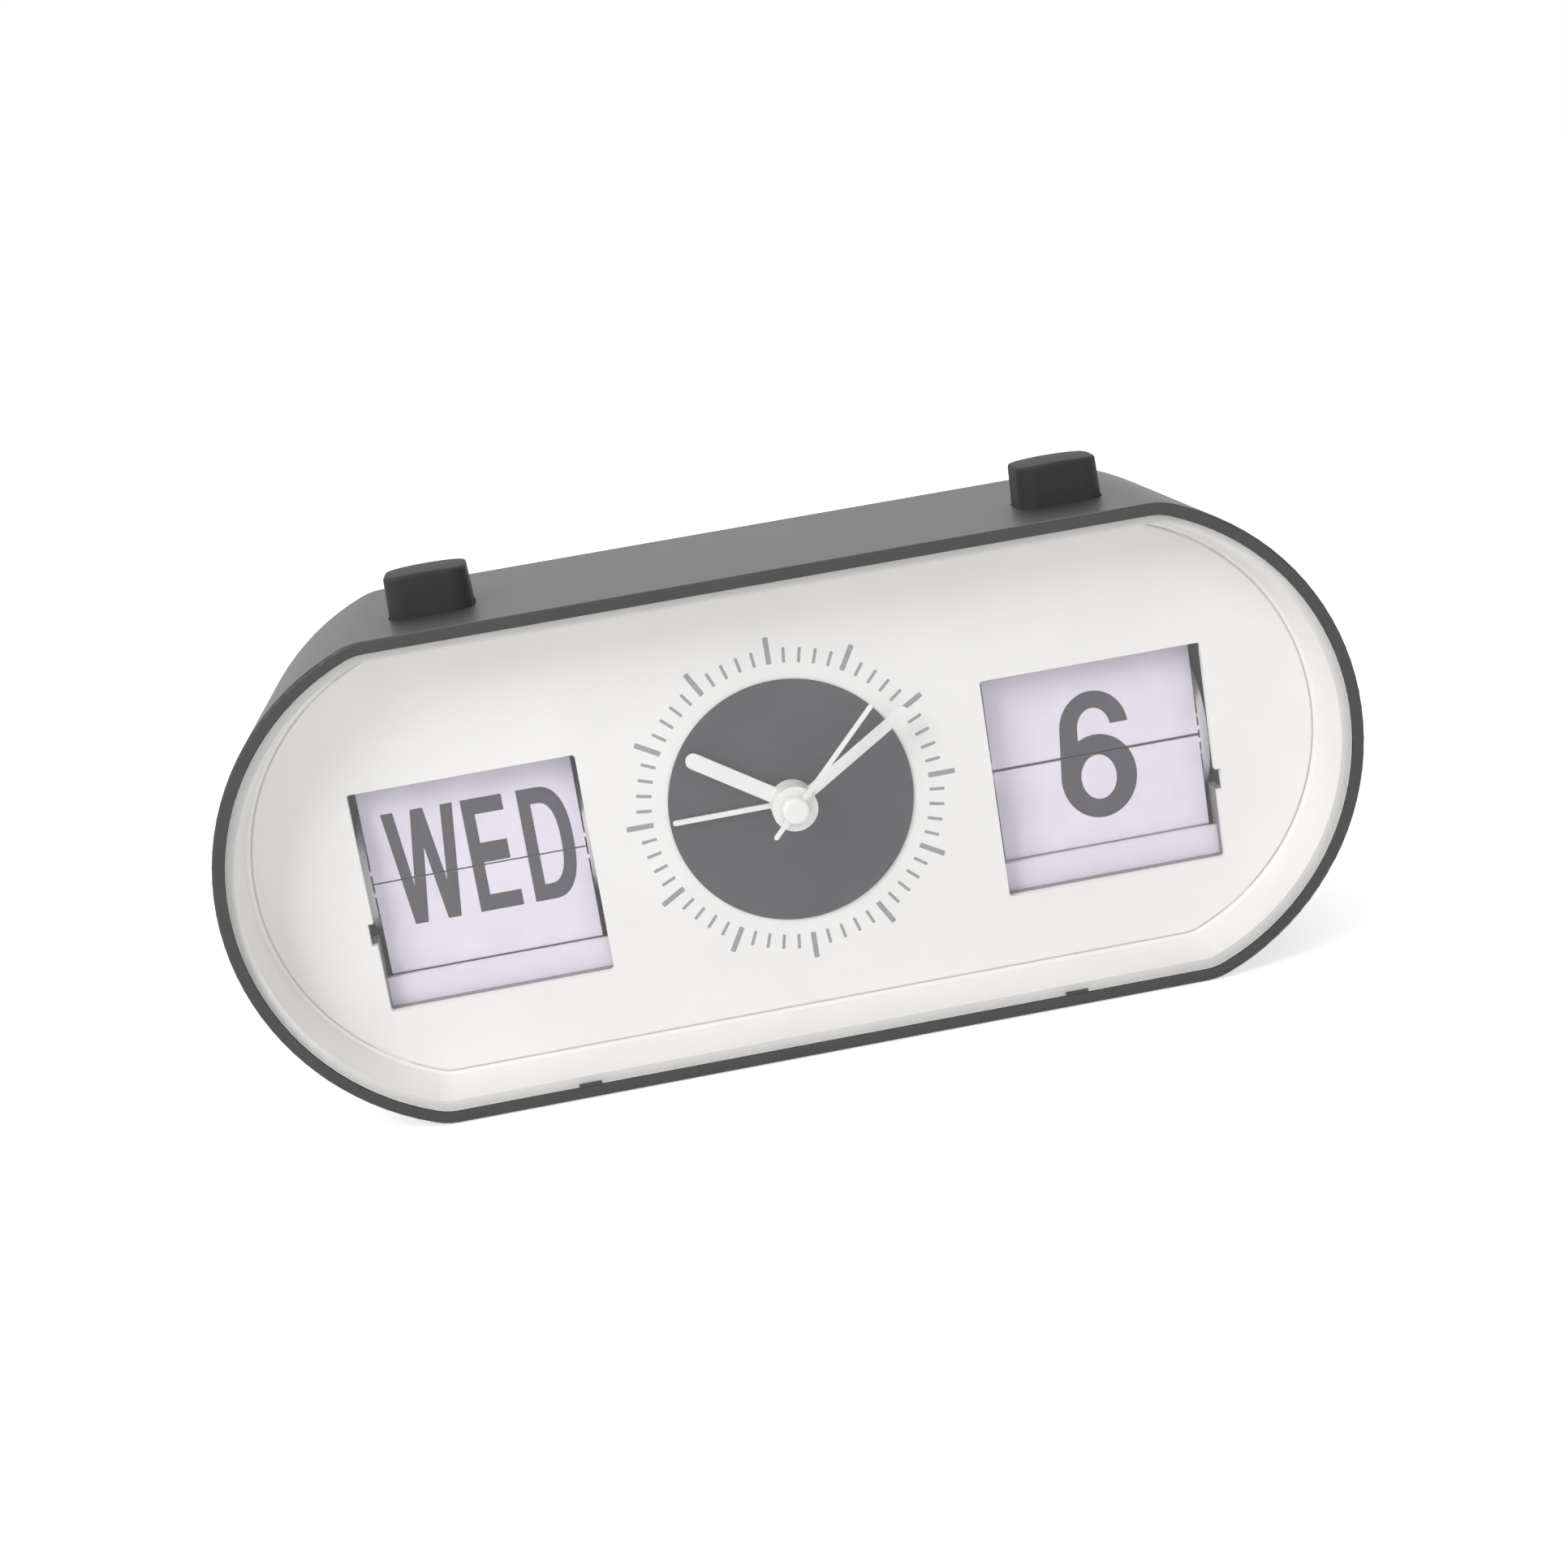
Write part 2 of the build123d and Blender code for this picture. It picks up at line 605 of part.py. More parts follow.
class FlipUnit:
    """One flip unit: the weekday on the left, the date on the right."""

    def __init__(self, name, side, leaves, pin_circle, thickness):
        self.name = name
        self.x = side * WINDOW_X
        self.key_x = side * KEY_X
        self.side = side
        self.inner = -side  # direction of the movement, where the ratchet is
        self.leaves = leaves
        self.step = 360 / leaves
        self.pin_circle = pin_circle
        self.thickness = thickness
        self.axis_y = LEAF_Y + pin_circle * cos(radians(self.step / 2))
        self.overhang = pin_circle * sin(radians(self.step / 2)) - SPLIT_GAP / 2
        self.ratchet_radius = leaves * KEY_TRAVEL / (2 * pi)
        self.disc_inside = LEAF_WIDTH / 2 + LEAF_SIDE_GAP
        self.disc_outside = self.disc_inside + SPOOL_DISC
        self.ratchet_inside = self.disc_outside + RATCHET_GAP
        self.ratchet_outside = self.ratchet_inside + RATCHET_THICKNESS
        self.plate_inside = self.ratchet_outside + FRAME_GAP
        self.plate_outside = self.plate_inside + FRAME_PLATE

    def span(self, near, far):
        """X range between two distances from the unit's middle, on the movement's side."""
        return tuple(sorted((self.x + self.inner * near, self.x + self.inner * far)))

    def at(self, angle, radius):
        """(y, z) at an angle about the axle: 0 to the front, 90 up."""
        turn = radians(angle)
        return (self.axis_y - radius * cos(turn), SPLIT_Z + radius * sin(turn))

    def leaf(self, number):
        """One leaf on its pins, standing, fanned or hanging as it does at rest."""
        place = (number + 0.5) * self.step
        lean = 90 + max(0, place - 1.5 * self.step)
        if lean > 270 or number == self.leaves - 1:
            lean = 270
        y, z = self.at(place, self.pin_circle)
        beyond = LEAF_REACH - SPLIT_GAP / 2 - self.overhang
        plate = block((-LEAF_WIDTH / 2, LEAF_WIDTH / 2), (-self.thickness / 2, self.thickness / 2),
                      (-self.overhang, beyond))
        pin_end = self.disc_outside - LEAF_PIN_GAP
        for end in (-1, 1):
            low, high = sorted((end * (LEAF_WIDTH / 2 - LEAF_PIN_GAP), end * pin_end))
            plate += across(0, 0, LEAF_PIN_RADIUS, low, high)
        return Pos(self.x, y, z) * Rot(90 - lean, 0, 0) * plate

    def spool(self):
        spool = across(self.axis_y, SPLIT_Z, SPOOL_TUBE_RADIUS, self.x - self.disc_inside,
                       self.x + self.disc_inside)
        radius = self.pin_circle + SPOOL_RIM
        for end in (-1, 1):
            low, high = sorted((self.x + end * self.disc_inside, self.x + end * self.disc_outside))
            plate = across(self.axis_y, SPLIT_Z, radius, low, high)
            for number in range(self.leaves):
                y, z = self.at((number + 0.5) * self.step, self.pin_circle)
                plate -= across(y, z, LEAF_PIN_RADIUS + LEAF_PIN_GAP, low, high)
            spool += plate
        hub = self.span(self.disc_inside, self.ratchet_outside)
        spool += across(self.axis_y, SPLIT_Z, SPOOL_HUB_RADIUS, *hub)
        far = self.plate_outside
        return spool - across(self.axis_y, SPLIT_Z, AXLE_RADIUS + RUN_GAP, self.x - far, self.x + far)

    def ratchet(self):
        """Saw teeth whose steep sides face upwards at the front."""
        points = []
        for number in range(self.leaves):
            angle = (number + 0.5) * self.step
            points.append(self.at(angle, self.ratchet_radius))
            points.append(self.at(angle, self.ratchet_radius - TOOTH_HEIGHT))
        left, right = self.span(self.ratchet_inside, self.ratchet_outside)
        plate = make_face(Polyline([(left, y, z) for y, z in reversed(points)], close=True))
        plate = extrude(plate, right - left, dir=(1, 0, 0))
        return plate - across(self.axis_y, SPLIT_Z, SPOOL_HUB_RADIUS + SNUG_GAP, left, right)

    def axle(self):
        half = self.plate_outside + AXLE_END
        return across(self.axis_y, SPLIT_Z, AXLE_RADIUS, self.x - half, self.x + half)

    def frame(self):
        """Two side plates, a bottom and a top bridge, and tabs on the bosses of the face."""
        behind = self.axis_y + FRAME_BEHIND_AXLE
        width = (self.x - self.plate_outside, self.x + self.plate_outside)
        frame = block(width, (FACE_BACK, behind + CLICK_FOOT), (FRAME_BOTTOM, FRAME_BOTTOM + FRAME_PLATE))
        bridge_y = (FACE_BACK, FACE_BACK + BRIDGE_LIP)
        bridge = block(width, bridge_y, (FRAME_TOP - FRAME_PLATE, FRAME_TOP))
        stem_hole = Cylinder(STEM_RADIUS + STEM_GAP, 2 * FRAME_PLATE)
        frame += bridge - Pos(self.key_x, STEM_Y, FRAME_TOP) * stem_hole
        tab_y = (BOSS_TOP, EAR_BACK)
        for end in (-1, 1):
            plate_x = sorted((self.x + end * self.plate_inside, self.x + end * self.plate_outside))
            frame += block(plate_x, (FACE_BACK, behind), (FRAME_BOTTOM, FRAME_TOP))
            ear_x = sorted((self.x + end * (EAR_X - BOSS_RADIUS), self.x + end * self.plate_outside))
            frame += block(ear_x, tab_y, (EAR_Z - BOSS_RADIUS, EAR_Z + BOSS_RADIUS))
            foot_x = (self.x + end * FOOT_X - BOSS_RADIUS, self.x + end * FOOT_X + BOSS_RADIUS)
            frame += block(foot_x, tab_y, (FOOT_Z - BOSS_RADIUS, FRAME_BOTTOM + FRAME_PLATE / 2))
            for x, z in ((EAR_X, EAR_Z), (FOOT_X, FOOT_Z)):
                frame -= rod(self.x + end * x, z, SCREW_RADIUS + SCREW_GAP, BOSS_TOP, EAR_BACK)
        return frame - across(self.axis_y, SPLIT_Z, AXLE_RADIUS + SNUG_GAP, width[0], width[1])

    def click_spring(self):
        """Strip that stands on the bottom bridge and bears on the ratchet from behind."""
        front = self.axis_y + self.ratchet_radius + CLICK_GAP
        width = self.span(self.ratchet_inside, self.ratchet_outside)
        seat = FRAME_BOTTOM + FRAME_PLATE
        strip = block(width, (front, front + CLICK_THICKNESS), (seat, SPLIT_Z + CLICK_ABOVE_AXLE))
        return strip + block(width, (front - CLICK_FOOT, front), (seat, seat + CLICK_THICKNESS))

    def button(self):
        """Key cap with its neck, which passes the case wall behind the face."""
        bottom = CASE_HEIGHT - KEY_GAP
        plan = Pos(0, 0, bottom) * key_plan(self.side, 0)
        cap = extrude(plan, KEY_HEIGHT + KEY_GAP, taper=KEY_DRAFT)
        centre_y = FRONT + KEY_FRONT + KEY_SIZE[1] / 2
        cap &= Pos(self.key_x, centre_y, CASE_HEIGHT + KEY_HEIGHT - KEY_CROWN) * Sphere(KEY_CROWN)
        cap = fillet(cap.faces().sort_by(Axis.Z)[-1].edges(), KEY_EDGE)
        neck_x = (self.key_x - KEY_NECK_WIDTH / 2, self.key_x + KEY_NECK_WIDTH / 2)
        neck_y = (STEM_Y - KEY_NECK_DEPTH / 2, STEM_Y + KEY_NECK_DEPTH / 2)
        return cap + block(neck_x, neck_y, (self.flange_top(), bottom + KEY_EDGE))

    def flange_top(self):
        return CASE_HEIGHT - CASE_WALL - PUSHER_STOP_GAP

    def pusher(self):
        """Stop plate and stem under the key, arm to the ratchet, bar and pawl."""
        top = self.flange_top()
        half = KEY_NECK_WIDTH / 2 + PUSHER_WIDER
        plate_y = (STEM_Y - KEY_NECK_DEPTH / 2, STEM_Y + KEY_NECK_DEPTH / 2)
        pusher = block((self.key_x - half, self.key_x + half), plate_y, (top - PUSHER_PLATE, top))
        stem = top - ARM_BOTTOM
        pusher += Pos(self.key_x, STEM_Y, ARM_BOTTOM + stem / 2) * Cylinder(STEM_RADIUS, stem)
        bar_x = self.span(self.ratchet_inside, self.ratchet_outside)
        arm_x = sorted((self.key_x - self.inner * STEM_RADIUS, self.x + self.inner * self.ratchet_outside))
        arm_y = (BAR_Y - ARM_DEPTH / 2, BAR_Y + ARM_DEPTH / 2)
        pusher += block(arm_x, arm_y, (ARM_BOTTOM, ARM_BOTTOM + ARM_HEIGHT))
        tooth_y, tooth_z = self.at(self.step / 2, self.ratchet_radius)
        nose = tooth_z + PAWL_GAP
        pusher += block(bar_x, arm_y, (nose, ARM_BOTTOM + ARM_HEIGHT))
        tip = tooth_y + PAWL_REACH
        profile = [(arm_y[0], nose), (tip, nose), (tip - PAWL_THICKNESS, nose + PAWL_THICKNESS)]
        profile += [(arm_y[0], nose + PAWL_THICKNESS)]
        pawl = make_face(Polyline([(bar_x[0], y, z) for y, z in profile], close=True))
        return pusher + extrude(pawl, bar_x[1] - bar_x[0], dir=(1, 0, 0))

    def button_spring(self):
        low = FRAME_TOP + SPRING_WIRE + SLIDE_GAP
        high = self.flange_top() - PUSHER_PLATE - SPRING_WIRE - SLIDE_GAP
        return Pos(self.key_x, STEM_Y, low) * coil(SPRING_RADIUS, SPRING_WIRE, high - low, SPRING_TURNS)

    def make(self):
        last = self.leaves - 1
        return {
            "frame": self.frame(),
            "axle": self.axle(),
            "spool": self.spool(),
            "ratchet": self.ratchet(),
            "leaf_upper": self.leaf(0),
            "leaf_next": self.leaf(1),
            "leaf_lower": self.leaf(last),
            "leaf_stack": Compound([self.leaf(number) for number in range(2, last)]),
            "button": self.button(),
            "pusher": self.pusher(),
            "button_spring": self.button_spring(),
            "click_spring": self.click_spring(),
        }


for unit in (
    FlipUnit("day", -1, DAY_LEAVES, DAY_PIN_CIRCLE, DAY_LEAF_THICKNESS),
    FlipUnit("date", 1, DATE_LEAVES, DATE_PIN_CIRCLE, DATE_LEAF_THICKNESS),
):
    for piece, shape in unit.make().items():
        nodes[unit.name + "_" + piece] = shape


# Movement case

def movement_half(front, back, open_front, open_back):
    half = MOVEMENT_SIZE / 2
    shell = block((-half, half), (front, back), (MID_Z - half, MID_Z + half))
    half -= MOVEMENT_WALL
    return shell - block((-half, half), (open_front, open_back), (MID_Z - half, MID_Z + half))


def pivot_hole(point, radius, front, back):
    return rod(*point, radius + RUN_GAP, front, back)


def make_movement_front():
    case = movement_half(MOVEMENT_FRONT, MOVEMENT_SPLIT, MOVEMENT_INNER, MOVEMENT_SPLIT)
    for x, z in MOVEMENT_SCREWS:
        towards = MID_Z + (z - MID_Z) * (MOVEMENT_SIZE / 2 - MOVEMENT_WALL / 2) / MOVEMENT_EAR_Z
        ear = rod(x, z, MOVEMENT_EAR_RADIUS, BOSS_TOP, EAR_BACK)
        ear_x = (x - MOVEMENT_EAR_RADIUS, x + MOVEMENT_EAR_RADIUS)
        ear += block(ear_x, (BOSS_TOP, EAR_BACK), sorted((z, towards)))
        case += ear - rod(x, z, SCREW_RADIUS + SCREW_GAP, BOSS_TOP, EAR_BACK)
    case -= pivot_hole(CENTRE, ALARM_TUBE, MOVEMENT_FRONT, MOVEMENT_INNER)
    for point in (THIRD, ROTOR):
        case -= pivot_hole(point, ARBOR_RADIUS, MOVEMENT_FRONT, MOVEMENT_INNER)
    case -= pivot_hole(ALARM_SET, SETTING_STEM_RADIUS, MOVEMENT_FRONT, MOVEMENT_INNER)
    return case + rod(*MOTION, POST_PIN_RADIUS, MOVEMENT_INNER, layer(2) + WHEEL_THICKNESS)


STATOR_FRONT = layer(7)
STATOR_LEFT = ROTOR[0] - MAGNET_RADIUS - STATOR_GAP - STATOR_BRIDGE
STATOR_RIGHT = STATOR_LEFT + STATOR_WIDTH
STATOR_TOP = ROTOR[1] + MAGNET_RADIUS + STATOR_GAP + STATOR_BRIDGE
STATOR_BOTTOM = ROTOR[1] - MAGNET_RADIUS - STATOR_GAP - STATOR_LEG
COIL_Z = STATOR_TOP + COIL_RADIUS + SLIDE_GAP
COIL_Y = STATOR_FRONT + STATOR_THICKNESS / 2
STATOR_SEATS = [
    (x, STATOR_BOTTOM + STATOR_LEG / 2) for x in (STATOR_RIGHT - STATOR_LEG, STATOR_LEFT + 2 * STATOR_LEG)
]
BOARD_RIGHT = MOVEMENT_SIZE / 2 - MOVEMENT_WALL - SLIDE_GAP
BOARD_X = (BOARD_RIGHT - BOARD_SIZE[0], BOARD_RIGHT)
BOARD_BOTTOM = MID_Z - MOVEMENT_SIZE / 2 + MOVEMENT_WALL + SLIDE_GAP
BOARD_FRONT = layer(8) + REAR_ROOM / 2 - BOARD_THICKNESS
BOARD_Z = (BOARD_BOTTOM, BOARD_BOTTOM + BOARD_SIZE[1])
BOARD_SEATS = [(x, sum(BOARD_Z) / 2) for x in (BOARD_X[0] + STATOR_LEG, BOARD_X[1] - STATOR_LEG)]


def make_movement_rear():
    case = movement_half(MOVEMENT_SPLIT, MOVEMENT_REAR, MOVEMENT_SPLIT, MOVEMENT_REAR_INNER)
    for point in (CENTRE, THIRD, ROTOR):
        case -= pivot_hole(point, ARBOR_RADIUS, MOVEMENT_REAR_INNER, MOVEMENT_REAR)
    for point in (ALARM_SET, TIME_SET):
        case -= pivot_hole(point, SETTING_STEM_RADIUS, MOVEMENT_REAR_INNER, MOVEMENT_REAR)
    case += rod(*INTERMEDIATE, POST_PIN_RADIUS, layer(5), MOVEMENT_REAR_INNER)
    for point in STATOR_SEATS:
        case += rod(*point, STATOR_LEG / 2, STATOR_FRONT + STATOR_THICKNESS, MOVEMENT_REAR_INNER)
    for point in BOARD_SEATS:
        case += rod(*point, STATOR_LEG / 2, BOARD_FRONT + BOARD_THICKNESS, MOVEMENT_REAR_INNER)
    return case


nodes["movement_case_front"] = make_movement_front()
nodes["movement_case_rear"] = make_movement_rear()


# Electrics of the movement

def make_stator():
    left, right = STATOR_LEFT, STATOR_RIGHT
    depth = (STATOR_FRONT, STATOR_FRONT + STATOR_THICKNESS)
    core = (COIL_Z - CORE_HEIGHT / 2, COIL_Z + CORE_HEIGHT / 2)
    stator = block((left, right), depth, (STATOR_BOTTOM, STATOR_TOP))
    stator += block((left, left + STATOR_LEG), depth, (STATOR_TOP, core[1]))
    stator += block((right - STATOR_LEG, right), depth, (STATOR_TOP, core[1]))
    stator += block((left, right), depth, core)
    return stator - rod(*ROTOR, MAGNET_RADIUS + STATOR_GAP, *depth)


COIL_LEFT = STATOR_LEFT + STATOR_LEG + SLIDE_GAP
COIL_RIGHT = STATOR_RIGHT - STATOR_LEG - SLIDE_GAP
BOBBIN_TUBE = sqrt(CORE_HEIGHT**2 + STATOR_THICKNESS**2) / 2 + SLIDE_GAP + COIL_WALL


def make_bobbin():
    bobbin = across(COIL_Y, COIL_Z, BOBBIN_TUBE, COIL_LEFT, COIL_RIGHT)
    bobbin += across(COIL_Y, COIL_Z, COIL_RADIUS, COIL_LEFT, COIL_LEFT + COIL_FLANGE)
    bobbin += across(COIL_Y, COIL_Z, COIL_RADIUS, COIL_RIGHT - COIL_FLANGE, COIL_RIGHT)
    half_y = STATOR_THICKNESS / 2 + SNUG_GAP
    half_z = CORE_HEIGHT / 2 + SNUG_GAP
    return bobbin - block((COIL_LEFT, COIL_RIGHT), (COIL_Y - half_y, COIL_Y + half_y),
                          (COIL_Z - half_z, COIL_Z + half_z))


def make_winding():
    ends = (COIL_LEFT + COIL_FLANGE + SNUG_GAP, COIL_RIGHT - COIL_FLANGE - SNUG_GAP)
    winding = across(COIL_Y, COIL_Z, COIL_RADIUS - SLIDE_GAP, *ends)
    return winding - across(COIL_Y, COIL_Z, BOBBIN_TUBE + SNUG_GAP, *ends)


nodes["stator"] = make_stator()
nodes["coil_bobbin"] = make_bobbin()
nodes["coil_winding"] = make_winding()
nodes["circuit_board"] = block(BOARD_X, (BOARD_FRONT, BOARD_FRONT + BOARD_THICKNESS), BOARD_Z)
nodes["quartz_crystal"] = across(
    BOARD_FRONT - CRYSTAL_RADIUS - SNUG_GAP, sum(BOARD_Z) / 2, CRYSTAL_RADIUS,
    sum(BOARD_X) / 2 - CRYSTAL_LENGTH / 2, sum(BOARD_X) / 2 + CRYSTAL_LENGTH / 2)


# Gear train, in mesh at rest
SECOND_PINION_PHASE = 0.0
THIRD_PHASE = meshed(SECOND_PINION_PHASE, PINION_TEETH, THIRD_TEETH, THIRD_ANGLE)
THIRD_PINION_PHASE = 0.0
MINUTE_PHASE = meshed(THIRD_PINION_PHASE, PINION_TEETH, MINUTE_TEETH, THIRD_ANGLE + 180)
INTERMEDIATE_PINION_PHASE = 0.0
SECOND_PHASE = meshed(INTERMEDIATE_PINION_PHASE, PINION_TEETH, SECOND_TEETH, INTERMEDIATE_ANGLE + 180)
INTERMEDIATE_PHASE = 0.0
ROTOR_PHASE = meshed(INTERMEDIATE_PHASE, INTERMEDIATE_TEETH, ROTOR_TEETH, ROTOR_ANGLE)
CANNON_PHASE = 0.0
MOTION_PHASE = meshed(CANNON_PHASE, CANNON_TEETH, MOTION_TEETH, MOTION_ANGLE)
MOTION_PINION_PHASE = 0.0
HOUR_PHASE = meshed(MOTION_PINION_PHASE, PINION_TEETH, HOUR_TEETH, MOTION_ANGLE + 180)
TIME_SET_PHASE = meshed(MINUTE_PHASE, MINUTE_TEETH, TIME_SET_TEETH, TIME_SET_ANGLE)
ALARM_PHASE = 0.0
ALARM_SET_PHASE = meshed(ALARM_PHASE, ALARM_TEETH, ALARM_SET_TEETH, ALARM_SET_ANGLE)

PIVOT_FRONT = MOVEMENT_INNER - PIVOT_DEPTH
PIVOT_REAR = MOVEMENT_REAR_INNER + PIVOT_DEPTH
KNOB_FRONT = WELL_FLOOR + KNOB_GAP
KNOB_REAR = KNOB_FRONT + KNOB_THICKNESS


def arbor(point, radius, front, back):
    return rod(*point, radius, front, back)


def make_second_wheel():
    piece = arbor(CENTRE, ARBOR_RADIUS, SECOND_CAP_BACK - SECOND_CAP / 2, PIVOT_REAR)
    piece += gear(pinion(CENTRE, PINION_TEETH, TRAIN_MODULE, SECOND_PINION_PHASE), 4)
    return piece + gear(wheel(CENTRE, SECOND_TEETH, TRAIN_MODULE, SECOND_PHASE), 5)


def make_third_wheel():
    piece = arbor(THIRD, ARBOR_RADIUS, PIVOT_FRONT, PIVOT_REAR)
    piece += gear(pinion(THIRD, PINION_TEETH, MINUTE_MODULE, THIRD_PINION_PHASE), 3)
    return piece + gear(wheel(THIRD, THIRD_TEETH, TRAIN_MODULE, THIRD_PHASE), 4)


def make_minute_wheel():
    piece = arbor(CENTRE, MINUTE_TUBE, MINUTE_HUB_FRONT + HAND_GAP, layer(3) + WHEEL_THICKNESS)
    piece += gear(pinion(CENTRE, CANNON_TEETH, MOTION_MODULE, CANNON_PHASE), 2)
    piece += gear(wheel(CENTRE, MINUTE_TEETH, MINUTE_MODULE, MINUTE_PHASE), 3)
    return piece - arbor(CENTRE, ARBOR_RADIUS + RUN_GAP, FRONT, layer(4))


def make_motion_wheel():
    piece = gear(pinion(MOTION, PINION_TEETH, HOUR_MODULE, MOTION_PINION_PHASE), 1)
    hub = pitch_radius(PINION_TEETH, HOUR_MODULE) - WHEEL_ADDENDUM * HOUR_MODULE
    piece += arbor(MOTION, hub, layer(1) + WHEEL_THICKNESS, layer(2))
    piece += gear(wheel(MOTION, MOTION_TEETH, MOTION_MODULE, MOTION_PHASE), 2)
    return piece - arbor(MOTION, POST_PIN_RADIUS + RUN_GAP, layer(0), layer(3))


def make_hour_wheel():
    piece = arbor(CENTRE, HOUR_TUBE, HOUR_HUB_FRONT + HAND_GAP, layer(1) + WHEEL_THICKNESS)
    piece += gear(wheel(CENTRE, HOUR_TEETH, HOUR_MODULE, HOUR_PHASE), 1)
    return piece - arbor(CENTRE, MINUTE_TUBE + RUN_GAP, FRONT, layer(2))


def make_alarm_wheel():
    piece = arbor(CENTRE, ALARM_TUBE, ALARM_HUB_FRONT + HAND_GAP, layer(0) + WHEEL_THICKNESS)
    piece += gear(wheel(CENTRE, ALARM_TEETH, MOTION_MODULE, ALARM_PHASE), 0)
    return piece - arbor(CENTRE, HOUR_TUBE + RUN_GAP, FRONT, layer(1))


def make_intermediate_wheel():
    piece = gear(pinion(INTERMEDIATE, PINION_TEETH, TRAIN_MODULE, INTERMEDIATE_PINION_PHASE), 5)
    hub = pitch_radius(PINION_TEETH, TRAIN_MODULE) - WHEEL_ADDENDUM * TRAIN_MODULE
    piece += arbor(INTERMEDIATE, hub, layer(5) + WHEEL_THICKNESS, layer(6))
    piece += gear(wheel(INTERMEDIATE, INTERMEDIATE_TEETH, TRAIN_MODULE, INTERMEDIATE_PHASE), 6)
    return piece - arbor(INTERMEDIATE, POST_PIN_RADIUS + RUN_GAP, layer(5), layer(7))


def make_rotor():
    piece = arbor(ROTOR, ARBOR_RADIUS, PIVOT_FRONT, PIVOT_REAR)
    piece += gear(pinion(ROTOR, ROTOR_TEETH, TRAIN_MODULE, ROTOR_PHASE), 6)
    return piece + rod(*ROTOR, MAGNET_RADIUS, STATOR_FRONT, STATOR_FRONT + STATOR_THICKNESS)


def make_setting_wheel(point, sketch, number, front):
    piece = arbor(point, SETTING_STEM_RADIUS, front, KNOB_REAR - KNOB_THICKNESS / 3)
    return piece + gear(sketch, number)


nodes["second_wheel"] = make_second_wheel()
nodes["third_wheel"] = make_third_wheel()
nodes["minute_wheel"] = make_minute_wheel()
nodes["motion_wheel"] = make_motion_wheel()
nodes["hour_wheel"] = make_hour_wheel()
nodes["alarm_wheel"] = make_alarm_wheel()
nodes["intermediate_wheel"] = make_intermediate_wheel()
nodes["rotor"] = make_rotor()
nodes["time_setting_wheel"] = make_setting_wheel(
    TIME_SET, pinion(TIME_SET, TIME_SET_TEETH, MINUTE_MODULE, TIME_SET_PHASE), 3, layer(3))
nodes["alarm_setting_wheel"] = make_setting_wheel(
    ALARM_SET, wheel(ALARM_SET, ALARM_SET_TEETH, MOTION_MODULE, ALARM_SET_PHASE), 0, PIVOT_FRONT)


# Hands

def blade(shape, tail, back):
    """A flat bar from its tail past the centre to its tip."""
    length, width, angle = shape
    bar = Pos(0, (length - tail) / 2) * SlotOverall(length + tail, width, rotation=90)
    return slab(Pos(*CENTRE) * Rot(0, 0, -angle) * bar, back - HAND_THICKNESS, back)


def hand(shape, back, hub_front, bore):
    """A hand with its blade at the back of its hub, open for the tubes inside it."""
    piece = blade(shape, 0, back) + rod(*CENTRE, HUB_RADIUS, hub_front, back)
    return piece - rod(*CENTRE, bore + SNUG_GAP, hub_front, back)


def make_second_hand():
    """Its cap is closed in front of the arbor."""
    cap = rod(*CENTRE, SECOND_CAP_RADIUS, SECOND_CAP_FRONT, SECOND_CAP_BACK)
    cap = fillet(edges_at_depth(cap, SECOND_CAP_FRONT), SECOND_CAP / 3)
    piece = cap + blade(SECOND_HAND, SECOND_TAIL, SECOND_CAP_BACK - SECOND_CAP / 4)
    return piece - rod(*CENTRE, ARBOR_RADIUS + SNUG_GAP, SECOND_CAP_BACK - SECOND_CAP / 2, SECOND_CAP_BACK)


nodes["alarm_hand"] = hand(ALARM_HAND, ALARM_HAND_BACK, ALARM_HUB_FRONT, ALARM_TUBE)
nodes["hour_hand"] = hand(HOUR_HAND, HOUR_HAND_BACK, HOUR_HUB_FRONT, HOUR_TUBE)
nodes["minute_hand"] = hand(MINUTE_HAND, MINUTE_HAND_BACK, MINUTE_HUB_FRONT, MINUTE_TUBE)
nodes["second_hand"] = make_second_hand()


# Rear cover, with the well for the knobs, the battery bay and the buzzer ring
CELL_Y = COVER_FRONT - CELL_GAP - CELL_RADIUS
BAY_HALF = CELL_RADIUS + CELL_GAP
BAY_Z = (CELL_Z - BAY_HALF, CELL_Z + BAY_HALF)
BAY_FRONT = CELL_Y - BAY_HALF
DOOR_Z = (BAY_Z[0] - DOOR_LAP, BAY_Z[1] + DOOR_LAP)
DOOR_X = (-BAY_LENGTH / 2 + DOOR_LAP, BAY_LENGTH / 2 - DOOR_LAP)


def widened(pair, by):
    return (pair[0] - by, pair[1] + by)


def well_plan(grow):
    width = WELL_RIGHT - WELL_LEFT
    height = WELL_TOP - WELL_BOTTOM
    plan = RectangleRounded(width + 2 * grow, height + 2 * grow, WELL_CORNER + grow)
    return Pos((WELL_LEFT + WELL_RIGHT) / 2, (WELL_BOTTOM + WELL_TOP) / 2) * plan


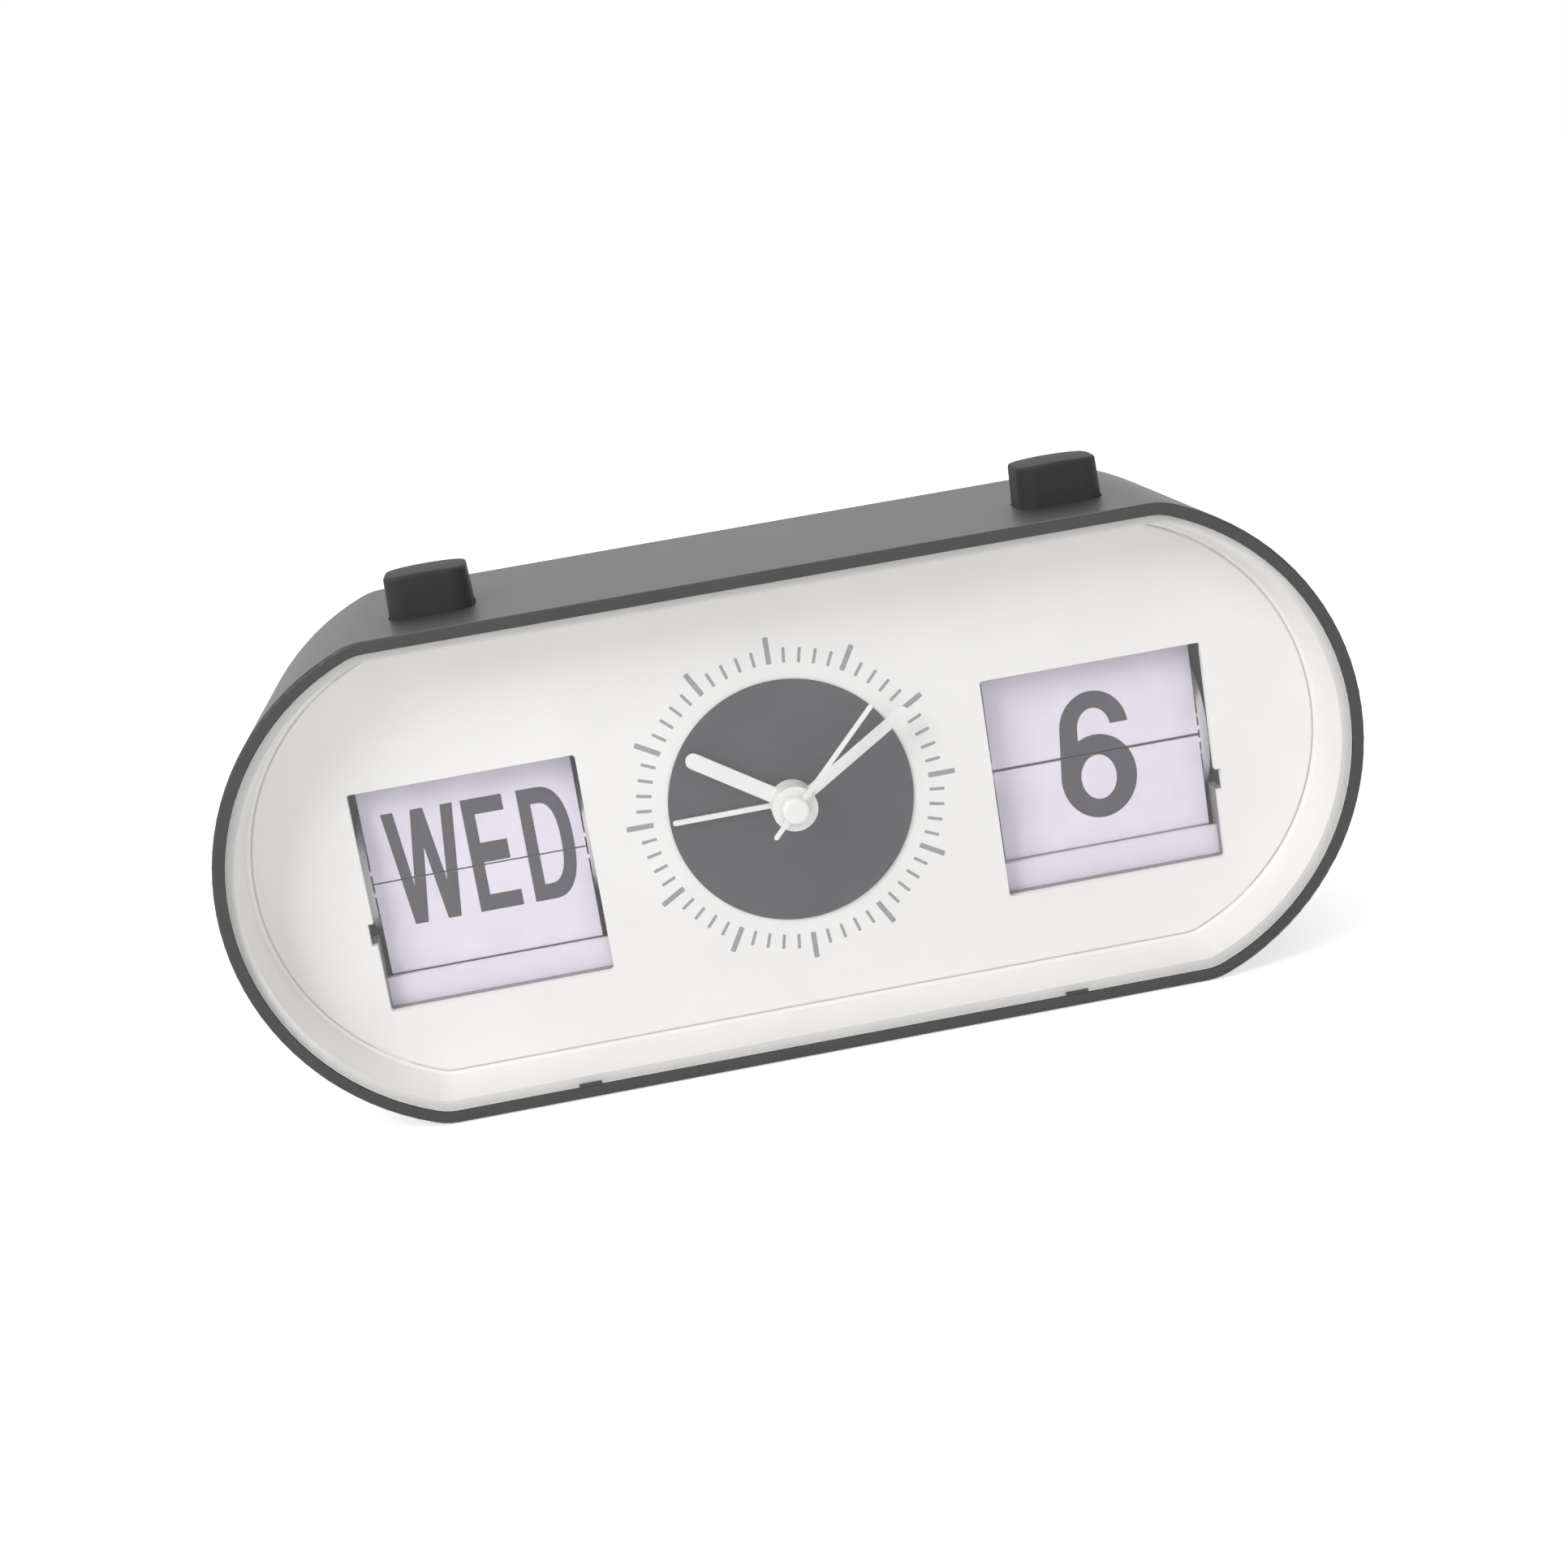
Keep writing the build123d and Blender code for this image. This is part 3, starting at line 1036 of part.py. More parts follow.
def make_rear_cover():
    cover = slab(outline(CASE_WALL + SLIDE_GAP), COVER_FRONT, REAR)
    cover += slab(well_plan(WELL_WALL), WELL_FLOOR_FRONT, COVER_FRONT)
    cover -= slab(well_plan(0), WELL_FLOOR, REAR)
    bay_x = (-BAY_LENGTH / 2, BAY_LENGTH / 2)
    cover += block(widened(bay_x, BAY_WALL), (BAY_FRONT - BAY_WALL, COVER_FRONT), widened(BAY_Z, BAY_WALL))
    cover -= block(bay_x, (BAY_FRONT, COVER_FRONT), BAY_Z)
    cover -= block(DOOR_X, (COVER_FRONT, REAR), DOOR_Z)
    for point in (TIME_SET, ALARM_SET):
        cover -= rod(*point, SETTING_STEM_RADIUS + STEM_HOLE_GAP, WELL_FLOOR_FRONT, WELL_FLOOR)
    slot = (SWITCH_NECK[0] + 2 * SWITCH_GAP, SWITCH_NECK[1] + SWITCH_TRAVEL + 2 * SWITCH_GAP)
    cover -= slab(Pos(SWITCH_X, MID_Z + SWITCH_TRAVEL / 2) * Rectangle(*slot), WELL_FLOOR_FRONT, WELL_FLOOR)
    ring_front = COVER_FRONT - BUZZER_RING_HEIGHT
    ring = BUZZER_RADIUS + SLIDE_GAP
    cover += rod(BUZZER_X, BUZZER_Z, ring + BUZZER_RING, ring_front, COVER_FRONT)
    cover -= rod(BUZZER_X, BUZZER_Z, ring, ring_front, COVER_FRONT)
    holes = [polar(60 * number, SOUND_HOLE_CIRCLE, (BUZZER_X, BUZZER_Z)) for number in range(6)]
    for x, z in holes + [(BUZZER_X, BUZZER_Z)]:
        cover -= rod(x, z, SOUND_HOLE_RADIUS, COVER_FRONT, REAR)
    for x, z in COVER_SCREWS:
        cover -= rod(x, z, COVER_SCREW_RADIUS + SCREW_GAP, COVER_FRONT, REAR)
        cover -= rod(x, z, COVER_HEAD_RADIUS + SLIDE_GAP, REAR - COVER_HEAD, REAR)
    return cover


def make_battery_door():
    door = block(widened(DOOR_X, -DOOR_GAP), (COVER_FRONT, REAR), widened(DOOR_Z, -DOOR_GAP))
    grip = across(REAR, DOOR_Z[1] - BAY_HALF / 2, COVER_THICKNESS / 2, -BAY_HALF, BAY_HALF)
    return door - grip


def make_battery_cell():
    nub_radius, nub = CELL_NUB
    end = BAY_LENGTH / 2 - CONTACT_THICKNESS - 2 * SLIDE_GAP
    body_end = end - nub
    cell = across(CELL_Y, CELL_Z, CELL_RADIUS, body_end - CELL_LENGTH, body_end)
    return cell + across(CELL_Y, CELL_Z, nub_radius, body_end, end)


def make_battery_spring():
    left = -BAY_LENGTH / 2 + BATTERY_WIRE + SLIDE_GAP
    cell_end = BAY_LENGTH / 2 - CONTACT_THICKNESS - 2 * SLIDE_GAP - CELL_NUB[1] - CELL_LENGTH
    right = cell_end - BATTERY_WIRE - SLIDE_GAP
    spring = coil(BATTERY_COIL_RADIUS, BATTERY_WIRE, right - left, BATTERY_TURNS)
    return Pos(left, CELL_Y, CELL_Z) * Rot(0, 90, 0) * spring


def make_positive_contact():
    right = BAY_LENGTH / 2 - SLIDE_GAP
    half = CONTACT_WIDTH / 2
    return block((right - CONTACT_THICKNESS, right), (BAY_FRONT + SLIDE_GAP, CELL_Y + half),
                 (CELL_Z - half, CELL_Z + half))


def make_knob(point, radius):
    x, z = point
    knob = rod(x, z, radius, KNOB_FRONT, KNOB_REAR)
    knob = fillet(edges_at_depth(knob, KNOB_REAR), FLUTE_RADIUS)
    for number in range(KNOB_FLUTES):
        knob -= rod(*polar(360 * number / KNOB_FLUTES, radius + FLUTE_RADIUS / 3, point), FLUTE_RADIUS,
                    KNOB_FRONT, KNOB_REAR)
    bore_end = KNOB_REAR - KNOB_THICKNESS / 3
    return knob - rod(x, z, SETTING_STEM_RADIUS + SNUG_GAP, KNOB_FRONT, bore_end)


def make_alarm_switch():
    width, height, thickness = SWITCH_CAP
    middle = Pos(SWITCH_X, MID_Z)
    keeper_back = WELL_FLOOR_FRONT - SWITCH_GAP
    cap_front = WELL_FLOOR + SWITCH_GAP
    switch = slab(middle * Rectangle(*SWITCH_NECK), keeper_back, cap_front)
    switch += slab(middle * RectangleRounded(width, height, SWITCH_CORNER), cap_front, cap_front + thickness)
    return switch + slab(middle * Rectangle(width, height), keeper_back - SWITCH_KEEPER, keeper_back)


nodes["rear_cover"] = make_rear_cover()
nodes["battery_door"] = make_battery_door()
nodes["battery_cell"] = make_battery_cell()
nodes["battery_spring"] = make_battery_spring()
nodes["battery_contact_positive"] = make_positive_contact()
nodes["time_set_knob"] = make_knob(TIME_SET, TIME_KNOB_RADIUS)
nodes["alarm_set_knob"] = make_knob(ALARM_SET, ALARM_KNOB_RADIUS)
nodes["alarm_switch"] = make_alarm_switch()
nodes["buzzer"] = rod(BUZZER_X, BUZZER_Z, BUZZER_RADIUS, COVER_FRONT - BUZZER_HEIGHT,
                      COVER_FRONT - SLIDE_GAP)

os.makedirs("parts", exist_ok=True)
for name, shape in nodes.items():
    export_step(shape, "parts/" + name + ".step")
print(len(nodes), "pieces")
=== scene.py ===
import json
from math import cos, pi, radians, sin

import bpy
from mathutils import Matrix, Vector

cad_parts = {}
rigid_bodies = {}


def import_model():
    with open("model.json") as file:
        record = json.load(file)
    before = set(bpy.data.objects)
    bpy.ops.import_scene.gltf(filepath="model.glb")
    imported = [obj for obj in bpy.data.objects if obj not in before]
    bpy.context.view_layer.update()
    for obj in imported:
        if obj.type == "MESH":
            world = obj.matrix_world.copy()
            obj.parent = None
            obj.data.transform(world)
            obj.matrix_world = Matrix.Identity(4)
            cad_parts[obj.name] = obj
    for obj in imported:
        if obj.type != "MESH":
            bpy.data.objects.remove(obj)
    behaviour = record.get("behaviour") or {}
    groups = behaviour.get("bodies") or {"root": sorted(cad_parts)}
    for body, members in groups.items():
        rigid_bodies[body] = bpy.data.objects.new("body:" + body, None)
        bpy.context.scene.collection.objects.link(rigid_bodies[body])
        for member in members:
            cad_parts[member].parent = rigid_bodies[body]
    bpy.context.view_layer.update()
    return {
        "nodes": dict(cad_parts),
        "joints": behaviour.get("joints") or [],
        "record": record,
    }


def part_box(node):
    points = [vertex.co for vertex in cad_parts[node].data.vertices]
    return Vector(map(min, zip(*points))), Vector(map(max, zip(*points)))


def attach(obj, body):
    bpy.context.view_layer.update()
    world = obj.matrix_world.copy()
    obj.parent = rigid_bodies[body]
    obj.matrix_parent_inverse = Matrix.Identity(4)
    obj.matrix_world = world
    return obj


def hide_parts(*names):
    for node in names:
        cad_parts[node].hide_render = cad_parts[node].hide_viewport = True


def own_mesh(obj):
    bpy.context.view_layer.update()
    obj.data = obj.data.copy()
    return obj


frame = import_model()
nodes = frame["nodes"]
joints = {joint["name"]: joint for joint in frame["joints"]}

# Sizes in millimetres, in the part's own frame
MM = 0.001
DIAL_Z = 43.0
SPLIT_Z = 40.2  # between the upper and the lower leaves
INK = 0.03  # thickness of printed marks
CELL_MIDDLE = 2.8  # of the battery cell's can
CELL_HALF = 24.6
CELL_BAND = 10.0  # pale end of its jacket
CELL_RIM = 0.7  # bare steel at its ends
WIRE_PITCH = 0.12  # of the coil winding

# Where painted shade goes on the face, in the seam round its floor and on the window reveals, and where
# its lips are painted leaf white: how far from the middle, how high and from which depth
SEAM_DEPTH = -16.45
REVEAL_DEPTH = -15.0
REVEALS_ACROSS = 80.0
REVEALS_HEIGHT = (8.0, 78.0)
LIP_DEPTH = -13.3
LIP_ACROSS = (36.2, 76.0)
LIP_HEIGHT = (18.05, 23.3)


# Node trees written as Python expressions

class Value:
    """An output of a node, with arithmetic that adds Math nodes."""

    def __init__(self, board, socket):
        self.board = board
        self.socket = socket

    def math(self, operation, *terms):
        return self.board.node("ShaderNodeMath", {"operation": operation}, dict(enumerate(terms)))

    def __add__(self, other):
        return self.math("ADD", self, other)

    def __sub__(self, other):
        return self.math("SUBTRACT", self, other)

    def __rsub__(self, other):
        return self.math("SUBTRACT", other, self)

    def __mul__(self, other):
        return self.math("MULTIPLY", self, other)

    def __truediv__(self, other):
        return self.math("DIVIDE", self, other)

    def above(self, edge):
        return self.math("GREATER_THAN", self, edge)

    def below(self, edge):
        return self.math("LESS_THAN", self, edge)

    def within(self, low, high):
        return self.above(low) * self.below(high)

    def size(self):
        return self.math("ABSOLUTE", self)

    def clamp(self):
        return self.board.node("ShaderNodeClamp", {}, {"Value": self})

    __radd__ = __add__
    __rmul__ = __mul__


class Board:
    """A node tree and the one way to add a node to it."""

    def __init__(self, tree):
        self.tree = tree

    def node(self, kind, settings=None, sockets=None, out=0):
        made = self.tree.nodes.new(kind)
        for name, value in (settings or {}).items():
            if name == "stops":
                self.set_stops(made.color_ramp.elements, value)
            else:
                setattr(made, name, value)
        for name, value in (sockets or {}).items():
            self.feed(made.inputs[name], value)
        return Value(self, made.outputs[out])

    def set_stops(self, elements, stops):
        for element, (position, colour) in zip(elements, stops):
            element.position = position
            element.color = colour

    def feed(self, socket, value):
        if isinstance(value, Value):
            self.tree.links.new(value.socket, socket)
        else:
            socket.default_value = value

    def seen_directly(self):
        """One for rays that show the background: straight, mirrored or through glass."""
        paths = [self.node("ShaderNodeLightPath", out="Is " + kind + " Ray")
                 for kind in ("Camera", "Glossy", "Transmission")]
        return (paths[0] + paths[1] + paths[2]).clamp()


def srgb(red, green, blue):
    """A colour as it is read from a screen, 0 to 255, made linear."""
    def linear(level):
        level /= 255
        return level / 12.92 if level <= 0.04045 else ((level + 0.055) / 1.055) ** 2.4
    return (linear(red), linear(green), linear(blue), 1.0)


class Finish(Board):
    """A procedural material on the piece's own coordinates."""

    def __init__(self, name):
        self.material = bpy.data.materials.new(name)
        self.material.use_nodes = True
        super().__init__(self.material.node_tree)
        self.shader = self.tree.nodes["Principled BSDF"]
        self.place = self.node("ShaderNodeTexCoord", out="Object")

    def axes_mm(self):
        """Where a point of the piece is, along each axis."""
        return [self.node("ShaderNodeSeparateXYZ", {}, {0: self.place}, out=axis) / MM
                for axis in range(3)]

    def noise(self, size_mm, detail=2.0, stretch=None):
        place = self.place
        if stretch:
            place = self.node("ShaderNodeMapping", {}, {"Vector": place, "Scale": stretch})
        sockets = {"Vector": place, "Scale": 1 / (size_mm * MM), "Detail": detail}
        return self.node("ShaderNodeTexNoise", {}, sockets)

    def cells(self, size_mm):
        return self.node("ShaderNodeTexVoronoi", {}, {"Vector": self.place, "Scale": 1 / (size_mm * MM)})

    def tones(self, share, deep, pale):
        return self.node("ShaderNodeValToRGB", {"stops": [(0.3, deep), (0.7, pale)]}, {"Fac": share})

    def blend(self, share, under, over):
        return self.node("ShaderNodeMix", {"data_type": "RGBA"}, {0: share, 6: under, 7: over}, out=2)

    def bump(self, height, depth_mm):
        sockets = {"Height": height, "Distance": depth_mm * MM, "Strength": 1.0}
        return self.node("ShaderNodeBump", {}, sockets)

    def surface(self, **sockets):
        for name, value in sockets.items():
            self.feed(self.shader.inputs[name.replace("_", " ")], value)
        return self.material


def moulded(name, deep, pale, roughness, grain_mm=0.22, depth_mm=0.012, tint=None, **constants):
    """Moulded plastic: faint clouding, a spark-eroded grain and a gloss that varies with it."""
    finish = Finish(name)
    clouds = finish.noise(14.0, 3.0)
    grain = finish.noise(grain_mm, 3.0)
    speck = finish.cells(grain_mm * 2.2)
    colour = finish.tones(clouds * 0.7 + grain * 0.3, deep, pale)
    # Where given, as for the face, painted shade and lip colour go over the base colour
    if tint:
        colour = tint(finish, colour)
    height = grain + speck * 0.6
    return finish.surface(
        Base_Color=colour,
        Roughness=(roughness - 0.06) + grain * 0.08 + clouds * 0.04,
        Normal=finish.bump(height, depth_mm), **constants)


def face_painted_shade_and_lips(finish, colour):
    """Painted shade: greyer in the seam round the floor and on the window reveals; leaf white painted on
    the lips in them.
    """
    across, depth, height = finish.axes_mm()
    across = across.size()
    middle = across.below(REVEALS_ACROSS) * height.within(*REVEALS_HEIGHT)
    # Painted shade: a grey line in the seam round the floor, away from the windows
    colour = finish.blend(depth.above(SEAM_DEPTH) * (1 - middle), colour, srgb(226, 224, 221))
    # Painted shade: the window reveals, sills and cheeks behind the face are greyed as if in shadow
    colour = finish.blend(depth.above(REVEAL_DEPTH) * middle, colour, srgb(132, 130, 134))
    lip = depth.above(LIP_DEPTH) * across.within(*LIP_ACROSS) * height.within(*LIP_HEIGHT)
    return finish.blend(lip, colour, srgb(229, 222, 235))


def painted(name, deep, pale, roughness, peel_mm=0.002):
    """Thin matt paint with a light orange peel."""
    finish = Finish(name)
    peel = finish.noise(0.35, 2.0)
    clouds = finish.noise(9.0, 2.0)
    return finish.surface(
        Base_Color=finish.tones(clouds * 0.8 + peel * 0.2, deep, pale),
        Roughness=(roughness - 0.04) + peel * 0.08,
        Normal=finish.bump(peel, peel_mm))


def metal(name, deep, pale, roughness, stretch):
    """Drawn or rolled metal with fine lines along it."""
    finish = Finish(name)
    lines = finish.noise(0.3, 4.0, stretch)
    stain = finish.noise(4.0, 3.0)
    return finish.surface(
        Base_Color=finish.tones(lines * 0.6 + stain * 0.4, deep, pale),
        Metallic=1.0,
        Roughness=(roughness - 0.08) + lines * 0.12 + stain * 0.06,
        Normal=finish.bump(lines, 0.006))


def leaf_sheet(name, split_shade_mm, split_shade_colour):
    """Thin printed plastic sheet: smooth, faintly mottled, with painted shade on its cut edge and in a
    band along the split.
    """
    finish = Finish(name)
    mottle = finish.noise(6.0, 4.0)
    tooth = finish.noise(0.12, 2.0)
    sheet = finish.tones(mottle * 0.75 + tooth * 0.25, srgb(226, 219, 233), srgb(236, 230, 242))
    # Painted shade: a darker band at the split, over the lit cut edge
    split_shade = (finish.axes_mm()[2] - SPLIT_Z).size().below(split_shade_mm)
    return finish.surface(
        Base_Color=finish.blend(split_shade, sheet, split_shade_colour),
        Roughness=0.40 + tooth * 0.10 + mottle * 0.05,
        Normal=finish.bump(tooth, 0.004))


def printing_ink(name, deep, pale):
    """Screen-printed ink: slightly uneven cover."""
    finish = Finish(name)
    cover = finish.noise(1.2, 4.0)
    tooth = finish.noise(0.09, 2.0)
    return finish.surface(
        Base_Color=finish.tones(cover * 0.7 + tooth * 0.3, deep, pale),
        Roughness=0.50 + tooth * 0.15,
        Normal=finish.bump(tooth, 0.004))


def clear_lens():
    """Polished clear acrylic that lets the lamps through."""
    finish = Finish("clear_acrylic")
    haze = finish.noise(25.0, 2.0)
    finish.surface(Base_Color=srgb(252, 253, 253), Roughness=0.01 + haze * 0.02)
    finish.surface(Transmission_Weight=1.0, IOR=1.45)
    lit = finish.node("ShaderNodeLightPath", out="Is Shadow Ray")
    spread = finish.node("ShaderNodeLightPath", out="Is Diffuse Ray")
    open_air = finish.node("ShaderNodeBsdfTransparent")
    glass = Value(finish, finish.shader.outputs[0])
    passing = (lit + spread).clamp()
    mixed = finish.node("ShaderNodeMixShader", {}, {0: passing, 1: glass, 2: open_air})
    finish.feed(finish.tree.nodes["Material Output"].inputs["Surface"], mixed)
    return finish.material


def winding_wire():
    """Enamelled copper wire, turn beside turn along the bobbin."""
    finish = Finish("winding_wire")
    angle = finish.axes_mm()[0] * (2 * pi / WIRE_PITCH)
    turns = angle.math("SINE", angle)
    stain = finish.noise(1.5, 3.0)
    return finish.surface(
        Base_Color=finish.tones(turns * 0.2 + stain * 0.8, srgb(150, 74, 36), srgb(206, 122, 70)),
        Metallic=1.0, Roughness=0.28 + stain * 0.12, Normal=finish.bump(turns, 0.03))


def circuit_laminate():
    """Green laminate with tinned tracks under the mask."""
    finish = Finish("circuit_laminate")
    tracks = finish.cells(2.2).above(0.42)
    weave = finish.noise(0.4, 2.0)
    body = finish.tones(weave, srgb(24, 78, 42), srgb(34, 96, 54))
    return finish.surface(
        Base_Color=finish.blend(tracks * 0.55, body, srgb(92, 150, 88)),
        Roughness=0.30 + weave * 0.12, Normal=finish.bump(tracks + weave * 0.3, 0.02))


def cell_wrap():
    """Shrink-wrapped cell: slate jacket, a pale band at one end and bare steel caps."""
    finish = Finish("cell_wrap")
    along = finish.axes_mm()[0]
    film = finish.noise(0.6, 3.0, (0.1, 1.0, 1.0))
    caps = (along - CELL_MIDDLE).size().above(CELL_HALF - CELL_RIM)
    band = along.above(CELL_MIDDLE + CELL_HALF - CELL_BAND)
    jacket = finish.tones(film, srgb(62, 74, 88), srgb(72, 85, 100))
    jacket = finish.blend(band, jacket, srgb(196, 198, 200))
    return finish.surface(
        Base_Color=finish.blend(caps, jacket, srgb(190, 190, 188)), Metallic=caps,
        Roughness=0.26 + film * 0.12, Normal=finish.bump(film, 0.004))


FINISHES = {
    "case_plastic": moulded("charcoal_shell", srgb(53, 52, 51), srgb(61, 60, 59), 0.42),
    "lens_clear": clear_lens(),
    # The face gets painted shade in its seam and on its window reveals
    "face_white": moulded("white_face", srgb(238, 236, 234), srgb(243, 241, 239), 0.50, 0.3, 0.006,
                          tint=face_painted_shade_and_lips),
    "dial_grey": painted("dial_paint", srgb(58, 57, 63), srgb(64, 63, 69), 0.60, 0.0002),
    "hand_white": painted("hand_paint", srgb(232, 232, 229), srgb(240, 240, 238), 0.45),
    # Leaf sheets carry painted shade along the split
    "leaf_white": leaf_sheet("leaf_sheet", 0.14, srgb(185, 178, 188)),
    "key_black": moulded("key_black", srgb(39, 40, 41), srgb(47, 48, 49), 0.66, 0.18, 0.014,
                         Specular_IOR_Level=0.35),
    "gear_plastic": moulded("acetal_white", srgb(214, 212, 216), srgb(226, 224, 228), 0.40, 0.25, 0.004),
    "movement_black": moulded("movement_black", srgb(30, 30, 31), srgb(38, 38, 39), 0.48),
    "bright_steel": metal("bright_steel", srgb(150, 150, 150), srgb(198, 198, 196), 0.30,
                          (1.0, 1.0, 0.08)),
    "winding_copper": winding_wire(),
    "board_green": circuit_laminate(),
    "cell_jacket": cell_wrap(),
}
# The date leaves get a wider, darker band of painted shade along the split
DATE_SHEET = leaf_sheet("date_leaf_sheet", 0.3, srgb(150, 142, 151))
MARK_INK = printing_ink("mark_ink", srgb(168, 168, 166), srgb(184, 184, 182))
LETTER_INK = printing_ink("letter_ink", srgb(66, 62, 71), srgb(74, 70, 79))
TICK_INK = printing_ink("tick_ink", srgb(142, 141, 143), srgb(158, 157, 159))

for part in frame["record"]["subparts"]:
    slots = nodes[part["node"]].data.materials
    slots.clear()
    slots.append(FINISHES[part["material_slot"]])
for leaf in ("date_leaf_upper", "date_leaf_lower"):
    nodes[leaf].data.materials[0] = DATE_SHEET


# Modelling helpers

def alone():
    """Leaves nothing selected and nothing in edit mode."""
    if bpy.context.object and bpy.context.object.mode != "OBJECT":
        bpy.ops.object.mode_set(mode="OBJECT")
    bpy.ops.object.select_all(action="DESELECT")


def hold(piece):
    """Selects one piece alone and makes it the active one."""
    alone()
    piece.select_set(True)
    bpy.context.view_layer.objects.active = piece


def settle(piece, name, finish):
    """Puts the place into the mesh, names the piece and gives it its finish."""
    hold(piece)
    bpy.ops.object.transform_apply(location=True, rotation=True, scale=True)
    piece.name = name
    piece.data.name = name
    piece.data.materials.clear()
    piece.data.materials.append(finish)
    alone()
    return piece


def put(piece, body):
    """Lets a piece move with a body."""
    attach(piece, body)
    return piece


def copied(piece, turn=None):
    """A copy with a mesh of its own, moved by a matrix."""
    twin = piece.copy()
    twin.data = piece.data.copy()
    bpy.context.scene.collection.objects.link(twin)
    if turn:
        twin.data.transform(turn)
    return twin


def cut_at(piece, height, keep_above):
    """Cuts a piece at a level and keeps one side of it."""
    hold(piece)
    bpy.ops.object.mode_set(mode="EDIT")
    bpy.ops.mesh.select_all(action="SELECT")
    bpy.ops.mesh.bisect(plane_co=(0, 0, height * MM), plane_no=(0, 0, 1), use_fill=True,
                        clear_inner=keep_above, clear_outer=not keep_above)
    bpy.ops.object.mode_set(mode="OBJECT")
    return piece


def pick(piece, kind, wanted):
    """Selects the faces or edges of a piece that meet a test, in edit mode."""
    hold(piece)
    bpy.ops.object.mode_set(mode="EDIT")
    bpy.ops.mesh.select_mode(type=kind)
    bpy.ops.mesh.select_all(action="DESELECT")
    bpy.ops.object.mode_set(mode="OBJECT")
    for element in piece.data.polygons if kind == "FACE" else piece.data.edges:
        element.select = wanted(element)
    bpy.ops.object.mode_set(mode="EDIT")


def cut_out(piece, cutter):
    """Takes a cutter's shape out of a piece."""
    hold(piece)
    carve = piece.modifiers.new("carve", "BOOLEAN")
    carve.operation = "DIFFERENCE"
    carve.object = cutter
    bpy.ops.object.modifier_apply(modifier=carve.name)
    bpy.data.objects.remove(cutter)


# Letters of the flip leaves, drawn as flat outlines in millimetres

def bow(centre, reach, start, stop, square=2.0, steps=20):
    """Points on a rounded bow, from one angle to another."""
    points = []
    for step in range(steps + 1):
        angle = radians(start + (stop - start) * step / steps)
        across, up = cos(angle), sin(angle)
        points.append((centre[0] + reach[0] * abs(across) ** (2 / square) * (1 if across > 0 else -1),
                       centre[1] + reach[1] * abs(up) ** (2 / square) * (1 if up > 0 else -1)))
    return points


CAP = 20.7  # height of the weekday letters
WIDE = 8.6  # width of the broad ones
BAR = 2.9
STEM = 2.15
CROSS = 8.9  # height of a middle bar


def letter_w():
    return 12.7, [[
        (0, CAP), (2.15, CAP), (3.5, 7.0), (5.25, CAP), (7.45, CAP), (9.3, 7.0), (10.55, CAP),
        (12.7, CAP), (10.55, 0), (8.25, 0), (6.4, 13.7), (4.65, 0), (2.35, 0)]]


def letter_e():
    return 7.7, [[
        (0, 0), (7.7, 0), (7.7, BAR), (STEM, BAR), (STEM, CROSS), (6.9, CROSS), (6.9, 12.5),
        (STEM, 12.5), (STEM, CAP - BAR), (7.3, CAP - BAR), (7.3, CAP), (0, CAP)]]


def letter_d():
    middle = CAP / 2
    outside = [(0, CAP), (0, 0)] + bow((3.4, middle), (5.2, middle), -90, 90, 2.5)
    inside = [(STEM, CAP - BAR), (STEM, BAR)] + bow((3.2, middle), (3.2, middle - BAR), -90, 90, 2.5)
    return WIDE, [outside, inside]


def letter_t():
    return 8.4, [[
        (0, CAP), (0, CAP - BAR), (3.05, CAP - BAR), (3.05, 0), (5.35, 0), (5.35, CAP - BAR),
        (8.4, CAP - BAR), (8.4, CAP)]]


def letter_h():
    far_stem = WIDE - STEM
    return WIDE, [[
        (0, 0), (STEM, 0), (STEM, CROSS), (far_stem, CROSS), (far_stem, 0), (WIDE, 0), (WIDE, CAP),
        (far_stem, CAP), (far_stem, CROSS + BAR), (STEM, CROSS + BAR), (STEM, CAP), (0, CAP)]]


def letter_u():
    half, bend = WIDE / 2, 5.2
    outside = bow((half, bend), (half, bend), 180, 360, 2.3)
    inside = bow((half, bend), (half - STEM, bend - BAR), 360, 180, 2.3)
    return WIDE, [[(0, CAP)] + outside + [(WIDE, CAP), (WIDE - STEM, CAP)] + inside + [(STEM, CAP)]]


def figure_six():
    hook = bow((7.05, 16.6), (6.3, 7.0), 4, 176)
    bowl = bow((6.95, 7.75), (6.95, 7.75), 172, 476, steps=50)
    inner_hook = bow((7.05, 16.6), (3.05, 3.85), 174, 7)
    return 13.9, [hook + bowl + inner_hook, bow((6.9, 7.6), (3.25, 4.15), 0, 350, steps=35)]


def figure_seven():
    return 13.6, [[
        (0.4, 23.3), (13.2, 23.3), (13.2, 20.1), (10.5, 15.6), (8.7, 10.6), (7.6, 5.2), (7.2, 0),
        (3.4, 0), (3.9, 5.2), (5.2, 10.4), (7.2, 15.2), (9.6, 19.3), (0.4, 19.3)]]


